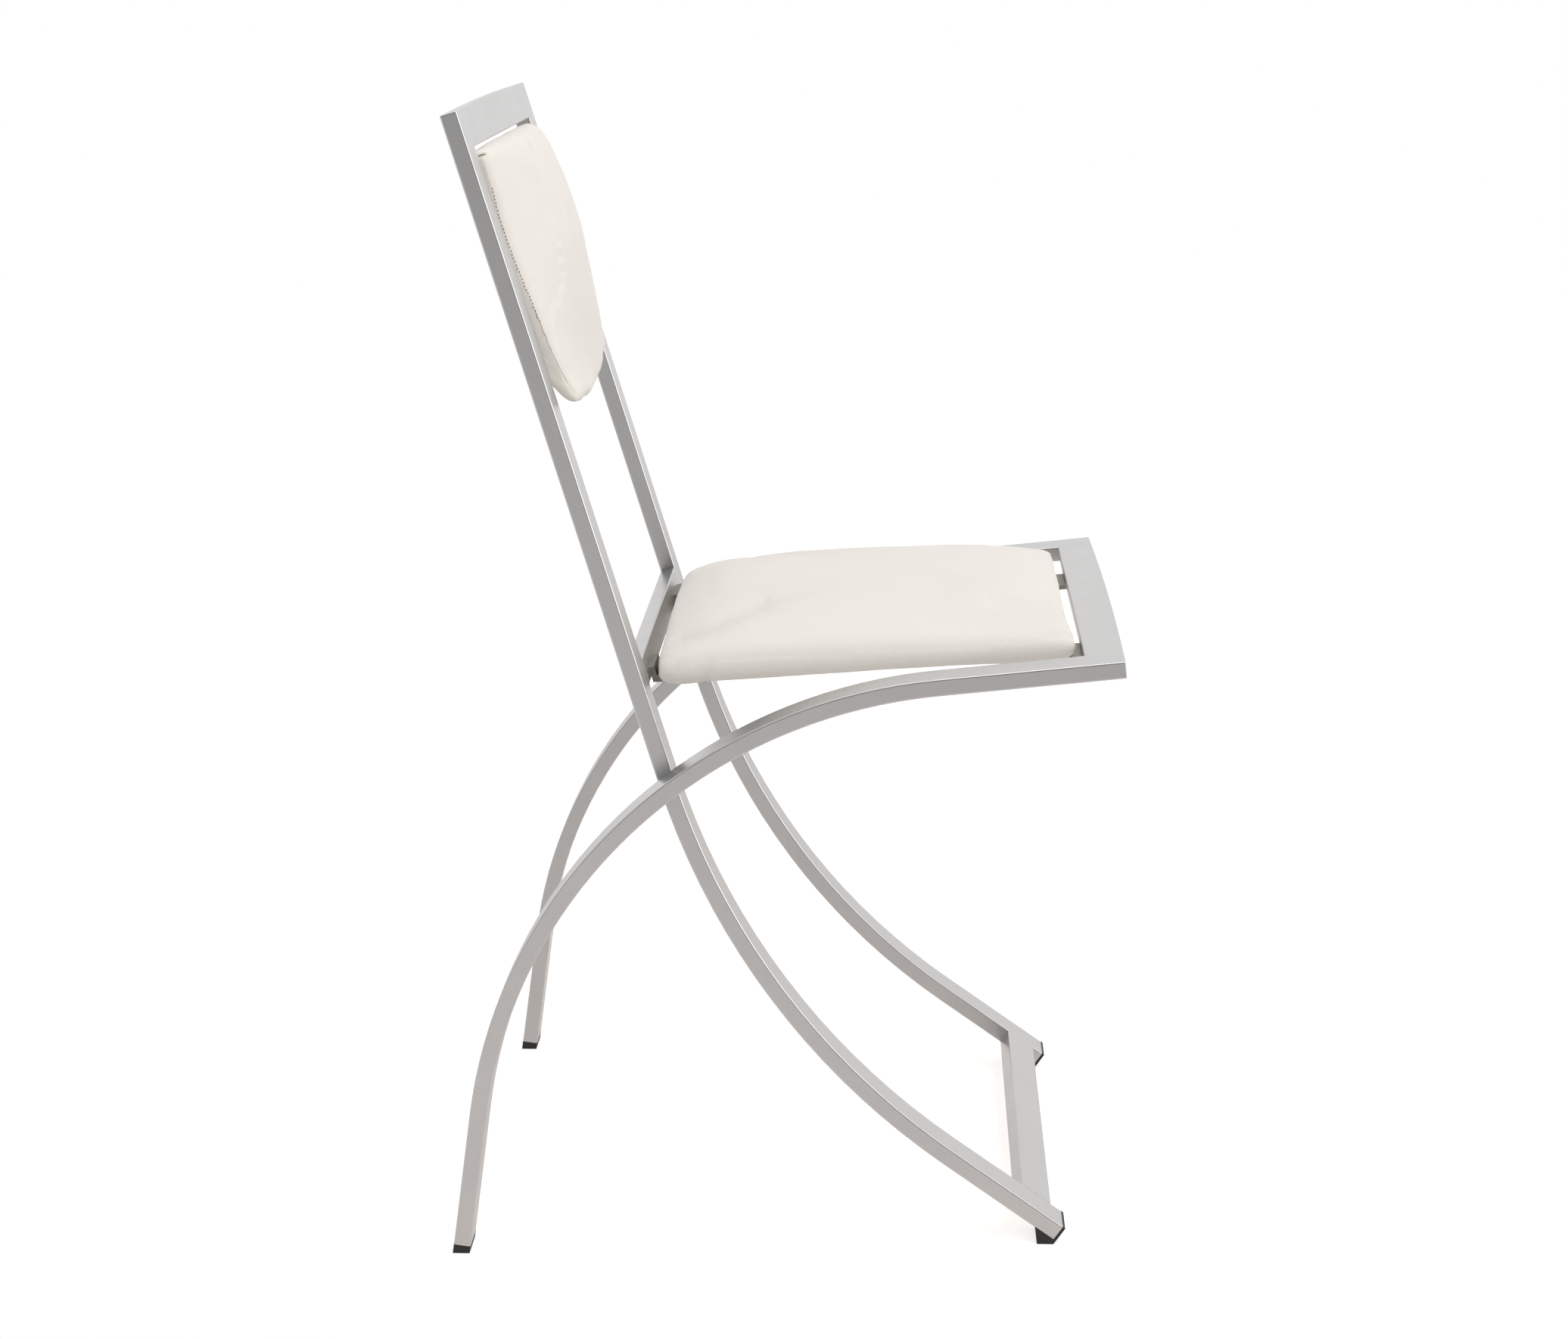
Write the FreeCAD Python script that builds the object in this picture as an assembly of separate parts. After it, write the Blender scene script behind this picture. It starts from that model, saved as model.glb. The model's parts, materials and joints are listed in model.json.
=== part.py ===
import FreeCAD, Part
import math
import os

# Flat tube that every frame member is made of
TUBE_WIDTH = 32.0
TUBE_DEPTH = 12.8
TUBE_WALL = 1.5
EDGE_ROUND = 1.2

# Back frame: each post bends forward into a front leg
FRONT_LEG_END_Y = -207.9
FRONT_LEG_END_Z = 8.9
POST_ANGLE = -107.29
POST_STRAIGHT = 520.1
POST_BEND_RADIUS = 565.1
POST_BEND_ANGLE = 37.49
FRONT_LEG_STRAIGHT = 101.8
POST_OUTER_X = 206.0
TOP_RAIL_HEIGHT = 29.0
TOP_RAIL_ARCH = 1.4
STRETCHER_FROM_FOOT = 9.0
STRETCHER_HEIGHT = 27.5

# Seat frame: each rail bends down into a rear leg
REAR_LEG_END_Y = 244.6
REAR_LEG_END_Z = 6.4
RAIL_ANGLE = -6.14
RAIL_STRAIGHT = 137.6
RAIL_BEND_RADIUS = 388.0
RAIL_BEND_ANGLE = 76.28
REAR_LEG_STRAIGHT = 104.1
FRAME_GAP = 1.4
FRONT_RAIL_DEPTH = 28.4
FRONT_RAIL_BOW = 2.0

# Pivot where the two frames cross
STUD_RADIUS = 3.0
BUSH_OUTER_RADIUS = 4.6
BUSH_FLANGE_RADIUS = 6.0
BUSH_FLANGE = 1.0
WASHER_RADIUS = 6.2
WASHER_THICKNESS = 1.1
NUT_RADIUS = 5.2
NUT_HEIGHT = 6.0
RUNNING_CLEARANCE = 0.05
FIXED_CLEARANCE = 0.02
SIDE_CLEARANCE = 0.3

# Crossbar that the seat turns on, between the posts
CROSSBAR_ABOVE_BEND = 80.0
CROSSBAR_HEIGHT = 20.0
CROSSBAR_END_GAP = 1.0
PLUG_LENGTH = 22.0
PLUG_FLANGE = 0.6
PIN_RADIUS = 2.5
PIN_LENGTH = 46.0

# Straps under the seat and the ledges that carry their tips
STRAP_SIDE_INSET = 32.0
STRAP_WIDTH = 45.0
STRAP_THICKNESS = 4.0
STRAP_TIP = 35.6
STRAP_FLANGE_HEIGHT = 8.0
STRAP_SLOT_GAP = 1.0
LEDGE_REACH = 22.0
LEDGE_WELD = 14.0
LEDGE_THICKNESS = 4.0
LEDGE_GAP = 0.3

# Feet
FOOT_PLATE = 2.4
FOOT_WEDGE = 17.0
FOOT_WEDGE_SLOPE = 1.6
FOOT_TONGUE = 18.0
TONGUE_CLEARANCE = 0.15

# Seat pad, measured along a line that starts with the rails and slopes less than they do
SEAT_TILT = 2.05
SEAT_FRONT = 37.1
SEAT_REAR_GAP = 9.8
SEAT_FRONT_HALF = 171.9
SEAT_REAR_HALF = 163.9
SEAT_FRONT_BOTTOM = -8.3
SEAT_REAR_BOTTOM = -13.0
SEAT_WIDEST_RISE = 13.0
SEAT_FRONT_CROWN = 27.9
SEAT_MIDDLE_CROWN = 39.3
SEAT_REAR_CROWN = 38.5
SEAT_EDGE = 58.5
SEAT_END_FACE = 0.5
SEAT_CORNER_INSET = 9.6
TOP_RISE_POWER = 0.81
TOP_SPREAD_POWER = 0.77
UNDER_RISE_POWER = 0.42
UNDER_SPREAD_POWER = 0.4
BOARD_THICKNESS = 8.0
BOARD_INSET = 18.0
BOARD_SIDE_INSET = 14.0
BOARD_CLEARANCE = 0.4

# Back pad, measured down the posts from their top
PAD_TOP = 33.0
PAD_SIDE_BOTTOM = 230.0
PAD_CENTRE_BOTTOM = 237.5
PAD_SIDE_GAP = 6.0
PAD_REAR = -2.9
PAD_REAR_KNEE = 0.8
PAD_TOP_ROUND = 0.05
PAD_TOP_TUCK = 4.4
PAD_TIP = 3.0
PAD_EDGE = 26.0
PAD_CROWN_POWER = 2.3
BACK_BOARD_TOP = 48.0
BACK_BOARD_BOTTOM = 200.0
BACK_BOARD_SIDE_INSET = 20.0
BACK_BOARD_REAR = -3.4
BACK_BAR_HEIGHT = 18.0
BACK_BAR_THICKNESS = 3.0
BACK_BAR_UPPER = 70.0
BACK_BAR_LOWER = 182.0

# Forward reach of the back pad's front face, by share of the way down: middle and side seams
CENTRE_REACH = (
    (0.0, 19.0), (0.02, 25.5), (0.05, 29.5), (0.14, 33.1), (0.26, 36.2), (0.43, 36.1),
    (0.61, 31.0), (0.745, 25.5), (0.863, 20.6), (0.94, 17.7), (1.0, 14.0),
)
SEAM_REACH = (
    (0.0, 5.0), (0.03, 9.5), (0.1, 9.8), (0.27, 7.7), (0.43, 8.3), (0.65, 12.0), (0.83, 14.0), (1.0, 13.5),
)

# Pan head screws
SCREW_RADIUS = 2.0
SCREW_HEAD_RADIUS = 3.8
SCREW_HEAD = 2.2
SCREW_BITE = 6.0
BACK_SCREW_INSET = 28.0
SEAT_SCREW_INSET = 12.0
SEAT_SCREW_FROM_FRONT = 57.5
SEAT_SCREW_FROM_REAR = 61.5

# How the pads are drawn: points around a section, and sections along a rounded end and between the ends
SECTION_POINTS = 28
END_STEPS = (0.0, 0.08, 0.25, 0.5, 1.0)
MIDDLE_SPANS = 4
HALF_DEPTH = TUBE_DEPTH / 2
BORE_HALF = HALF_DEPTH - TUBE_WALL
POST_INNER_X = POST_OUTER_X - TUBE_WIDTH
RAIL_INNER_X = POST_OUTER_X + FRAME_GAP
RAIL_OUTER_X = RAIL_INNER_X + TUBE_WIDTH


def vec(x, y, z):
    return FreeCAD.Vector(x, y, z)


def direction(angle):
    return vec(0, math.cos(math.radians(angle)), math.sin(math.radians(angle)))


def normal(angle):
    return vec(0, -math.sin(math.radians(angle)), math.cos(math.radians(angle)))


class Straight:
    """Straight line in a YZ plane that pieces are laid along."""

    def __init__(self, start, angle):
        self.start = start
        self.along = direction(angle)
        self.lift = normal(angle)

    def head(self, x, s, n):
        """Point beside the line: s from its start, n to its left."""
        return self.start + self.along * s + self.lift * n + vec(x, 0, 0)

    def station(self, point):
        """Distance of a point from the start, along the line."""
        return (point - self.start).dot(self.along)


class Bend(Straight):
    """Centre line of a tube: a straight, an arc turning clockwise and a straight."""

    def __init__(self, end, angle, first, radius, turn, last):
        self.first = first
        self.last = last
        self.radius = radius
        self.end = vec(0, end[0], end[1])
        self.mid_lift = normal(angle - turn / 2)
        self.end_along = direction(angle - turn)
        self.end_lift = normal(angle - turn)
        self.centre = self.end - self.end_along * last - self.end_lift * radius
        start = self.centre + normal(angle) * radius - direction(angle) * first
        super().__init__(start, angle)

    def middle(self, x, n):
        return self.centre + self.mid_lift * (self.radius + n) + vec(x, 0, 0)

    def tail(self, x, s, n):
        """Point beside the last straight: s past its end, n to its left."""
        return self.end + self.end_along * s + self.end_lift * n + vec(x, 0, 0)


post_line = Bend(
    (FRONT_LEG_END_Y, FRONT_LEG_END_Z), POST_ANGLE, POST_STRAIGHT,
    POST_BEND_RADIUS, POST_BEND_ANGLE, FRONT_LEG_STRAIGHT,
)
rail_line = Bend(
    (REAR_LEG_END_Y, REAR_LEG_END_Z), RAIL_ANGLE, RAIL_STRAIGHT,
    RAIL_BEND_RADIUS, RAIL_BEND_ANGLE, REAR_LEG_STRAIGHT,
)
seat_line = Straight(rail_line.start, RAIL_ANGLE + SEAT_TILT)


def prism(points, along):
    """Straight block swept from a closed outline."""
    outline = Part.makePolygon(points + points[:1])
    return Part.Face(outline).extrude(along)


def cylinder(radius, length, base, axis):
    return Part.makeCylinder(radius, length, base, axis)


def mirrored(shape):
    return shape.mirror(vec(0, 0, 0), vec(1, 0, 0))


def strip(line, half, x, width, skip_head):
    """Solid bar along a bent centre line."""
    edges = []
    ends = []
    for n in (half, -half):
        head = line.head(x, skip_head, n)
        bend_in = line.head(x, line.first, n)
        bend_mid = line.middle(x, n)
        bend_out = line.tail(x, -line.last, n)
        tail = line.tail(x, 0, n)
        edges.append(Part.makeLine(head, bend_in))
        edges.append(Part.Arc(bend_in, bend_mid, bend_out).toShape())
        edges.append(Part.makeLine(bend_out, tail))
        ends.append((head, tail))
    edges.append(Part.makeLine(ends[0][0], ends[1][0]))
    edges.append(Part.makeLine(ends[0][1], ends[1][1]))
    outline = Part.Wire(Part.__sortEdges__(edges))
    return Part.Face(outline).extrude(vec(width, 0, 0))


def bent_tube(line, x, skip_head):
    """Hollow flat tube with rounded long edges."""
    bar = strip(line, HALF_DEPTH, x, TUBE_WIDTH, skip_head)
    long_edges = []
    for edge in bar.Edges:
        flat = edge.BoundBox.XLength < EDGE_ROUND
        if flat and edge.Length > TUBE_DEPTH + EDGE_ROUND:
            long_edges.append(edge)
    bar = bar.makeFillet(EDGE_ROUND, long_edges)
    bore_x = x + TUBE_WALL
    bore_width = TUBE_WIDTH - 2 * TUBE_WALL
    bore = strip(line, BORE_HALF, bore_x, bore_width, skip_head)
    return bar.cut(bore)


def bowed_bar(line, half_x, s_front, s_rear, bow):
    """Flat bar across the frame whose front edge bows outward in the middle."""
    corners = [
        line.head(-half_x, s_front, -HALF_DEPTH),
        line.head(half_x, s_front, -HALF_DEPTH),
        line.head(half_x, s_rear, -HALF_DEPTH),
        line.head(-half_x, s_rear, -HALF_DEPTH),
    ]
    crest = line.head(0, s_front - bow, -HALF_DEPTH)
    edges = [
        Part.Arc(corners[0], crest, corners[1]).toShape(),
        Part.makeLine(corners[1], corners[2]),
        Part.makeLine(corners[2], corners[3]),
        Part.makeLine(corners[3], corners[0]),
    ]
    bar = Part.Face(Part.Wire(edges)).extrude(line.lift * TUBE_DEPTH)
    free_edges = []
    for edge in bar.Edges:
        nearest = min(line.station(vertex.Point) for vertex in edge.Vertexes)
        if nearest < s_rear - EDGE_ROUND:
            free_edges.append(edge)
    return bar.makeFillet(EDGE_ROUND, free_edges)


def head_box(line, x_low, x_high, s_low, s_high, n_low, n_high):
    """Box aligned with the first straight of a centre line."""
    points = [
        line.head(x_low, s_low, n_low),
        line.head(x_low, s_high, n_low),
        line.head(x_low, s_high, n_high),
        line.head(x_low, s_low, n_high),
    ]
    return prism(points, vec(x_high - x_low, 0, 0))


def tail_box(line, x_low, x_high, s_low, s_high, n_low, n_high):
    """Box aligned with the last straight of a centre line."""
    points = [
        line.tail(x_low, s_low, n_low),
        line.tail(x_low, s_high, n_low),
        line.tail(x_low, s_high, n_high),
        line.tail(x_low, s_low, n_high),
    ]
    return prism(points, vec(x_high - x_low, 0, 0))


def rounded_off(line, bar, half_x, s):
    """Bar with its two long edges at one station rounded, between the tubes that meet it."""
    for n in (-HALF_DEPTH, HALF_DEPTH):
        inside = n - math.copysign(EDGE_ROUND, n)
        corner = head_box(line, -half_x, half_x, s - EDGE_ROUND, s, min(n, inside), max(n, inside))
        roll = cylinder(EDGE_ROUND, 2 * half_x, line.head(-half_x, s - EDGE_ROUND, inside), vec(1, 0, 0))
        bar = bar.cut(corner.cut(roll))
    return bar


def end_rail(line, half_x, depth, bow):
    """Hollow rail closing a frame, vented into the two tubes that meet it."""
    rail = bowed_bar(line, half_x, 0, depth, bow)
    rail = rounded_off(line, rail, half_x - TUBE_WIDTH, depth)
    bore_x = half_x - TUBE_WALL
    bore = head_box(line, -bore_x, bore_x, TUBE_WALL, depth - TUBE_WALL, -BORE_HALF, BORE_HALF)
    rail = rail.cut(bore)
    vent_x = half_x - TUBE_WIDTH / 2
    for x in (-vent_x, vent_x):
        vent = cylinder(BORE_HALF - TUBE_WALL, depth, line.head(x, depth / 2, 0), line.along)
        rail = rail.cut(vent)
    return rail


def smooth_section(points):
    curve = Part.BSplineCurve()
    curve.interpolate(points, True)
    return Part.Wire(curve.toShape())


def blend(table, u):
    """Straight-line reading of a short list of (position, value) pairs."""
    for (u0, v0), (u1, v1) in zip(table, table[1:]):
        if u <= u1:
            return v0 + (v1 - v0) * (u - u0) / (u1 - u0)
    return table[-1][1]


def rounded(distance, edge, smallest):
    """Fraction of full section at a distance from a cushion's rounded end."""
    if distance >= edge:
        return 1.0
    rest = 1 - distance / edge
    return smallest + (1 - smallest) * math.sqrt(1 - rest * rest)


def spread(low, high, edge):
    """Stations close together near both rounded ends."""
    first = [low + edge * step for step in END_STEPS]
    last = [high - edge * step for step in reversed(END_STEPS)]
    span = (last[0] - first[-1]) / MIDDLE_SPANS
    inner = [first[-1] + span * part for part in range(1, MIDDLE_SPANS)]
    return first + inner + last


def crossing(line, other):
    """Where a line's first straight, run on, passes the arc of another line."""
    bend_in = line.head(0, line.first, 0)
    away = bend_in - other.centre
    half = away.dot(line.along)
    rest = away.dot(away) - other.radius ** 2
    reach = math.sqrt(half * half - rest)
    return bend_in + line.along * (-half - math.copysign(reach, -half))


# Back frame
pivot = crossing(post_line, rail_line)
crossbar_s = POST_STRAIGHT - CROSSBAR_ABOVE_BEND
seat_axis = post_line.head(0, crossbar_s, 0)
x_axis = vec(1, 0, 0)
solids = {}

post = bent_tube(post_line, -POST_OUTER_X, TOP_RAIL_HEIGHT)
bush_hole = cylinder(BUSH_OUTER_RADIUS + FIXED_CLEARANCE, TUBE_WIDTH, pivot - x_axis * POST_OUTER_X, x_axis)
post = post.cut(bush_hole)
pin_start = seat_axis - x_axis * (POST_OUTER_X - TUBE_WALL)
pin_hole = cylinder(PIN_RADIUS + FIXED_CLEARANCE, TUBE_WIDTH, pin_start, x_axis)
post = post.cut(pin_hole)
solids["back_post_right"] = post
solids["back_post_left"] = mirrored(post)

solids["top_rail"] = end_rail(post_line, POST_OUTER_X, TOP_RAIL_HEIGHT, TOP_RAIL_ARCH)

stretcher_low = -STRETCHER_FROM_FOOT
stretcher_high = -STRETCHER_FROM_FOOT - STRETCHER_HEIGHT
stretcher = tail_box(
    post_line, -POST_INNER_X, POST_INNER_X, stretcher_high, stretcher_low, -HALF_DEPTH, HALF_DEPTH,
)
across = [edge for edge in stretcher.Edges if edge.BoundBox.XLength > POST_INNER_X]
stretcher = stretcher.makeFillet(EDGE_ROUND, across)
stretcher_bore = tail_box(
    post_line, -POST_INNER_X, POST_INNER_X,
    stretcher_high + TUBE_WALL, stretcher_low - TUBE_WALL, -BORE_HALF, BORE_HALF,
)
solids["front_stretcher"] = stretcher.cut(stretcher_bore)

# The front foot caps the cut tube end and fills the wedge between tube and floor
under = post_line.tail(-POST_OUTER_X, -FOOT_WEDGE, HALF_DEPTH)
plate_top = post_line.tail(-POST_OUTER_X, FOOT_PLATE, -HALF_DEPTH)
plate_run = plate_top.z / post_line.end_lift.z
plate_floor = plate_top - post_line.end_lift * plate_run
foot_outline = [
    plate_top,
    post_line.tail(-POST_OUTER_X, 0, -HALF_DEPTH),
    post_line.tail(-POST_OUTER_X, 0, HALF_DEPTH),
    under,
    vec(-POST_OUTER_X, under.y - FOOT_WEDGE_SLOPE, 0),
    plate_floor,
]
front_foot = prism(foot_outline, vec(TUBE_WIDTH, 0, 0))
tongue_half = BORE_HALF - TONGUE_CLEARANCE
tongue_low = -POST_OUTER_X + TUBE_WALL + TONGUE_CLEARANCE
tongue_high = -POST_INNER_X - TUBE_WALL - TONGUE_CLEARANCE
tongue = tail_box(post_line, tongue_low, tongue_high, -FOOT_TONGUE, FOOT_PLATE / 2, -tongue_half, tongue_half)
front_foot = front_foot.fuse(tongue).removeSplitter()
solids["front_foot_right"] = front_foot
solids["front_foot_left"] = mirrored(front_foot)

bush_start = pivot - x_axis * POST_OUTER_X
bush_run = TUBE_WIDTH + BUSH_FLANGE
bush = cylinder(BUSH_OUTER_RADIUS, bush_run, bush_start, x_axis)
flange_start = pivot - x_axis * POST_INNER_X
bush = bush.fuse(cylinder(BUSH_FLANGE_RADIUS, BUSH_FLANGE, flange_start, x_axis))
bush = bush.cut(cylinder(STUD_RADIUS + RUNNING_CLEARANCE, bush_run, bush_start, x_axis))
solids["pivot_bush_right"] = bush
solids["pivot_bush_left"] = mirrored(bush)

seat_pin = cylinder(PIN_RADIUS, PIN_LENGTH, pin_start, x_axis)
solids["seat_pin_right"] = seat_pin
solids["seat_pin_left"] = mirrored(seat_pin)

# Bars, board and screws behind the back pad; a positive lift is the rear side of the posts
pad_half = POST_INNER_X - PAD_SIDE_GAP
back_board_half = pad_half - BACK_BOARD_SIDE_INSET
back_screw_x = back_board_half - BACK_SCREW_INSET
bar_rear = HALF_DEPTH
bar_front = HALF_DEPTH - BACK_BAR_THICKNESS
board_rear = -BACK_BOARD_REAR
board_front = board_rear - BOARD_THICKNESS
back_board = head_box(
    post_line, -back_board_half, back_board_half,
    BACK_BOARD_TOP, BACK_BOARD_BOTTOM, board_front, board_rear,
)
for name, s in (("upper", BACK_BAR_UPPER), ("lower", BACK_BAR_LOWER)):
    bar = head_box(
        post_line, -POST_INNER_X, POST_INNER_X,
        s - BACK_BAR_HEIGHT / 2, s + BACK_BAR_HEIGHT / 2, bar_front, bar_rear,
    )
    for side, x in (("right", -back_screw_x), ("left", back_screw_x)):
        tip = post_line.head(x, s, bar_front - SCREW_BITE)
        shank_run = SCREW_BITE + BACK_BAR_THICKNESS
        hole = cylinder(SCREW_RADIUS + FIXED_CLEARANCE, shank_run, tip, post_line.lift)
        bar = bar.cut(hole)
        back_board = back_board.cut(hole)
        shank = cylinder(SCREW_RADIUS, shank_run, tip, post_line.lift)
        head = cylinder(SCREW_HEAD_RADIUS, SCREW_HEAD, post_line.head(x, s, bar_rear), post_line.lift)
        solids["back_screw_" + name + "_" + side] = shank.fuse(head).removeSplitter()
    solids["back_bar_" + name] = bar
solids["back_board"] = back_board


def pad_rear(front, u):
    """Forward reach of the back pad's rear face, which curls forward to the front face at the bottom."""
    top = max(1 - u / PAD_TOP_ROUND, 0)
    curl = max(u - PAD_REAR_KNEE, 0) / (1 - PAD_REAR_KNEE)
    return PAD_REAR + PAD_TOP_TUCK * top + (front - PAD_TIP - PAD_REAR) * curl ** 2


def pad_section(x):
    """Closed outline of the back pad at one distance from its middle."""
    crown = 1 - abs(x / pad_half) ** PAD_CROWN_POWER
    bottom = PAD_SIDE_BOTTOM + (PAD_CENTRE_BOTTOM - PAD_SIDE_BOTTOM) * crown
    points = []
    half = SECTION_POINTS // 2
    for side in ("front", "rear"):
        for step in range(half):
            turn = math.pi * (step + 0.5) / half
            u = (1 - math.cos(turn)) / 2
            if side == "rear":
                u = 1 - u
            seam = blend(SEAM_REACH, u)
            n = seam + (blend(CENTRE_REACH, u) - seam) * crown
            if side == "rear":
                n = pad_rear(n, u)
            points.append(post_line.head(x, PAD_TOP + u * (bottom - PAD_TOP), -n))
    return smooth_section(points)


pad_sections = [pad_section(x) for x in spread(-pad_half, pad_half, PAD_EDGE)]
back_cushion = Part.makeLoft(pad_sections, True, False)
pocket = head_box(
    post_line, -back_board_half - BOARD_CLEARANCE, back_board_half + BOARD_CLEARANCE,
    BACK_BOARD_TOP - BOARD_CLEARANCE, BACK_BOARD_BOTTOM + BOARD_CLEARANCE,
    board_front - BOARD_CLEARANCE, board_rear + BOARD_THICKNESS,
)
solids["back_cushion"] = back_cushion.cut(pocket)

# Seat frame
side_rail = bent_tube(rail_line, -RAIL_OUTER_X, FRONT_RAIL_DEPTH)
stud_start = pivot - x_axis * (RAIL_OUTER_X - TUBE_WALL)
stud_hole = cylinder(STUD_RADIUS + FIXED_CLEARANCE, TUBE_WIDTH, stud_start, x_axis)
side_rail = side_rail.cut(stud_hole)
solids["seat_rail_right"] = side_rail
solids["seat_rail_left"] = mirrored(side_rail)

solids["front_rail"] = end_rail(rail_line, RAIL_OUTER_X, FRONT_RAIL_DEPTH, FRONT_RAIL_BOW)

foot_top_front = rail_line.tail(-RAIL_OUTER_X, 0, -HALF_DEPTH)
foot_top_rear = rail_line.tail(-RAIL_OUTER_X, 0, HALF_DEPTH)


def to_floor(point):
    return point - rail_line.end_along * (point.z / rail_line.end_along.z)


rear_foot = prism(
    [foot_top_front, foot_top_rear, to_floor(foot_top_rear), to_floor(foot_top_front)],
    vec(TUBE_WIDTH, 0, 0),
)
rear_tongue_low = -RAIL_OUTER_X + TUBE_WALL + TONGUE_CLEARANCE
rear_tongue_high = -RAIL_INNER_X - TUBE_WALL - TONGUE_CLEARANCE
rear_tongue = tail_box(
    rail_line, rear_tongue_low, rear_tongue_high,
    -FOOT_TONGUE, REAR_LEG_END_Z / 2, -tongue_half, tongue_half,
)
rear_foot = rear_foot.fuse(rear_tongue).removeSplitter()
solids["rear_foot_right"] = rear_foot
solids["rear_foot_left"] = mirrored(rear_foot)

stud_run = RAIL_OUTER_X - TUBE_WALL - POST_INNER_X + BUSH_FLANGE + SIDE_CLEARANCE + NUT_HEIGHT / 2
stud = cylinder(STUD_RADIUS, stud_run, stud_start, x_axis)
solids["pivot_stud_right"] = stud
solids["pivot_stud_left"] = mirrored(stud)

washer_start = pivot - x_axis * RAIL_INNER_X
washer = cylinder(WASHER_RADIUS, WASHER_THICKNESS, washer_start, x_axis)
washer = washer.cut(cylinder(STUD_RADIUS + FIXED_CLEARANCE, WASHER_THICKNESS, washer_start, x_axis))
solids["pivot_washer_right"] = washer
solids["pivot_washer_left"] = mirrored(washer)

nut_start = pivot - x_axis * (POST_INNER_X - BUSH_FLANGE - SIDE_CLEARANCE)
nut = cylinder(NUT_RADIUS, NUT_HEIGHT, nut_start, x_axis)
rim = [edge for edge in nut.Edges if edge.BoundBox.XMin > nut_start.x + NUT_HEIGHT / 2]
nut = nut.makeFillet(EDGE_ROUND, rim[:1])
nut = nut.cut(cylinder(STUD_RADIUS + FIXED_CLEARANCE, NUT_HEIGHT / 2, nut_start, x_axis))
solids["pivot_nut_right"] = nut
solids["pivot_nut_left"] = mirrored(nut)

strap_centre = SEAT_REAR_HALF - STRAP_SIDE_INSET
strap_x = -strap_centre - STRAP_WIDTH / 2
ledge = head_box(
    rail_line, strap_x, strap_x + STRAP_WIDTH,
    FRONT_RAIL_DEPTH - LEDGE_WELD, FRONT_RAIL_DEPTH + LEDGE_REACH, -HALF_DEPTH - LEDGE_THICKNESS, -HALF_DEPTH,
)
solids["seat_ledge_right"] = ledge
solids["seat_ledge_left"] = mirrored(ledge)

# Seat
bar_low = crossbar_s - CROSSBAR_HEIGHT / 2
bar_high = crossbar_s + CROSSBAR_HEIGHT / 2
bar_x = POST_INNER_X - CROSSBAR_END_GAP
crossbar = head_box(post_line, -bar_x, bar_x, bar_low, bar_high, -HALF_DEPTH, HALF_DEPTH)
lengthwise = [edge for edge in crossbar.Edges if edge.BoundBox.XLength > bar_x]
crossbar = crossbar.makeFillet(EDGE_ROUND, lengthwise)
crossbar_bore = head_box(
    post_line, -bar_x, bar_x, bar_low + TUBE_WALL, bar_high - TUBE_WALL, -BORE_HALF, BORE_HALF,
)
solids["seat_crossbar"] = crossbar.cut(crossbar_bore)

plug_low = bar_low + TUBE_WALL + TONGUE_CLEARANCE
plug_high = bar_high - TUBE_WALL - TONGUE_CLEARANCE
plug = head_box(post_line, -bar_x, -bar_x + PLUG_LENGTH, plug_low, plug_high, -tongue_half, tongue_half)
flange_face = post_line.head(-bar_x - PLUG_FLANGE, crossbar_s, 0)
plug = plug.fuse(cylinder(HALF_DEPTH - EDGE_ROUND, PLUG_FLANGE, flange_face, x_axis))
plug = plug.cut(cylinder(PIN_RADIUS + RUNNING_CLEARANCE, PLUG_LENGTH + PLUG_FLANGE, flange_face, x_axis))
solids["crossbar_plug_right"] = plug
solids["crossbar_plug_left"] = mirrored(plug)


def meet(a, a_along, b, b_along):
    """Crossing point of two lines in a YZ plane."""
    scale = a_along.y * b_along.z - a_along.z * b_along.y
    reach = ((b.y - a.y) * b_along.z - (b.z - a.z) * b_along.y) / scale
    return a + a_along * reach


strap_slope = STRAP_TIP * math.sin(math.radians(SEAT_TILT))
strap_bottom = LEDGE_GAP - HALF_DEPTH - strap_slope
strap_top = strap_bottom + STRAP_THICKNESS
strap_upper = seat_line.head(strap_x, STRAP_TIP, strap_top)
strap_lower = seat_line.head(strap_x, STRAP_TIP, strap_bottom)
flange_s = bar_high - STRAP_FLANGE_HEIGHT
weld_face = post_line.head(strap_x, flange_s, -HALF_DEPTH)
flange_front = post_line.head(strap_x, flange_s, -HALF_DEPTH - STRAP_THICKNESS)
strap_outline = [
    strap_upper,
    strap_lower,
    meet(strap_lower, seat_line.along, weld_face, post_line.along),
    weld_face,
    flange_front,
    meet(strap_upper, seat_line.along, flange_front, post_line.along),
]
strap = prism(strap_outline, vec(STRAP_WIDTH, 0, 0))


seat_rear = seat_line.station(post_line.head(0, crossbar_s, -HALF_DEPTH)) - SEAT_REAR_GAP
seat_depth = seat_rear - SEAT_FRONT


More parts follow.
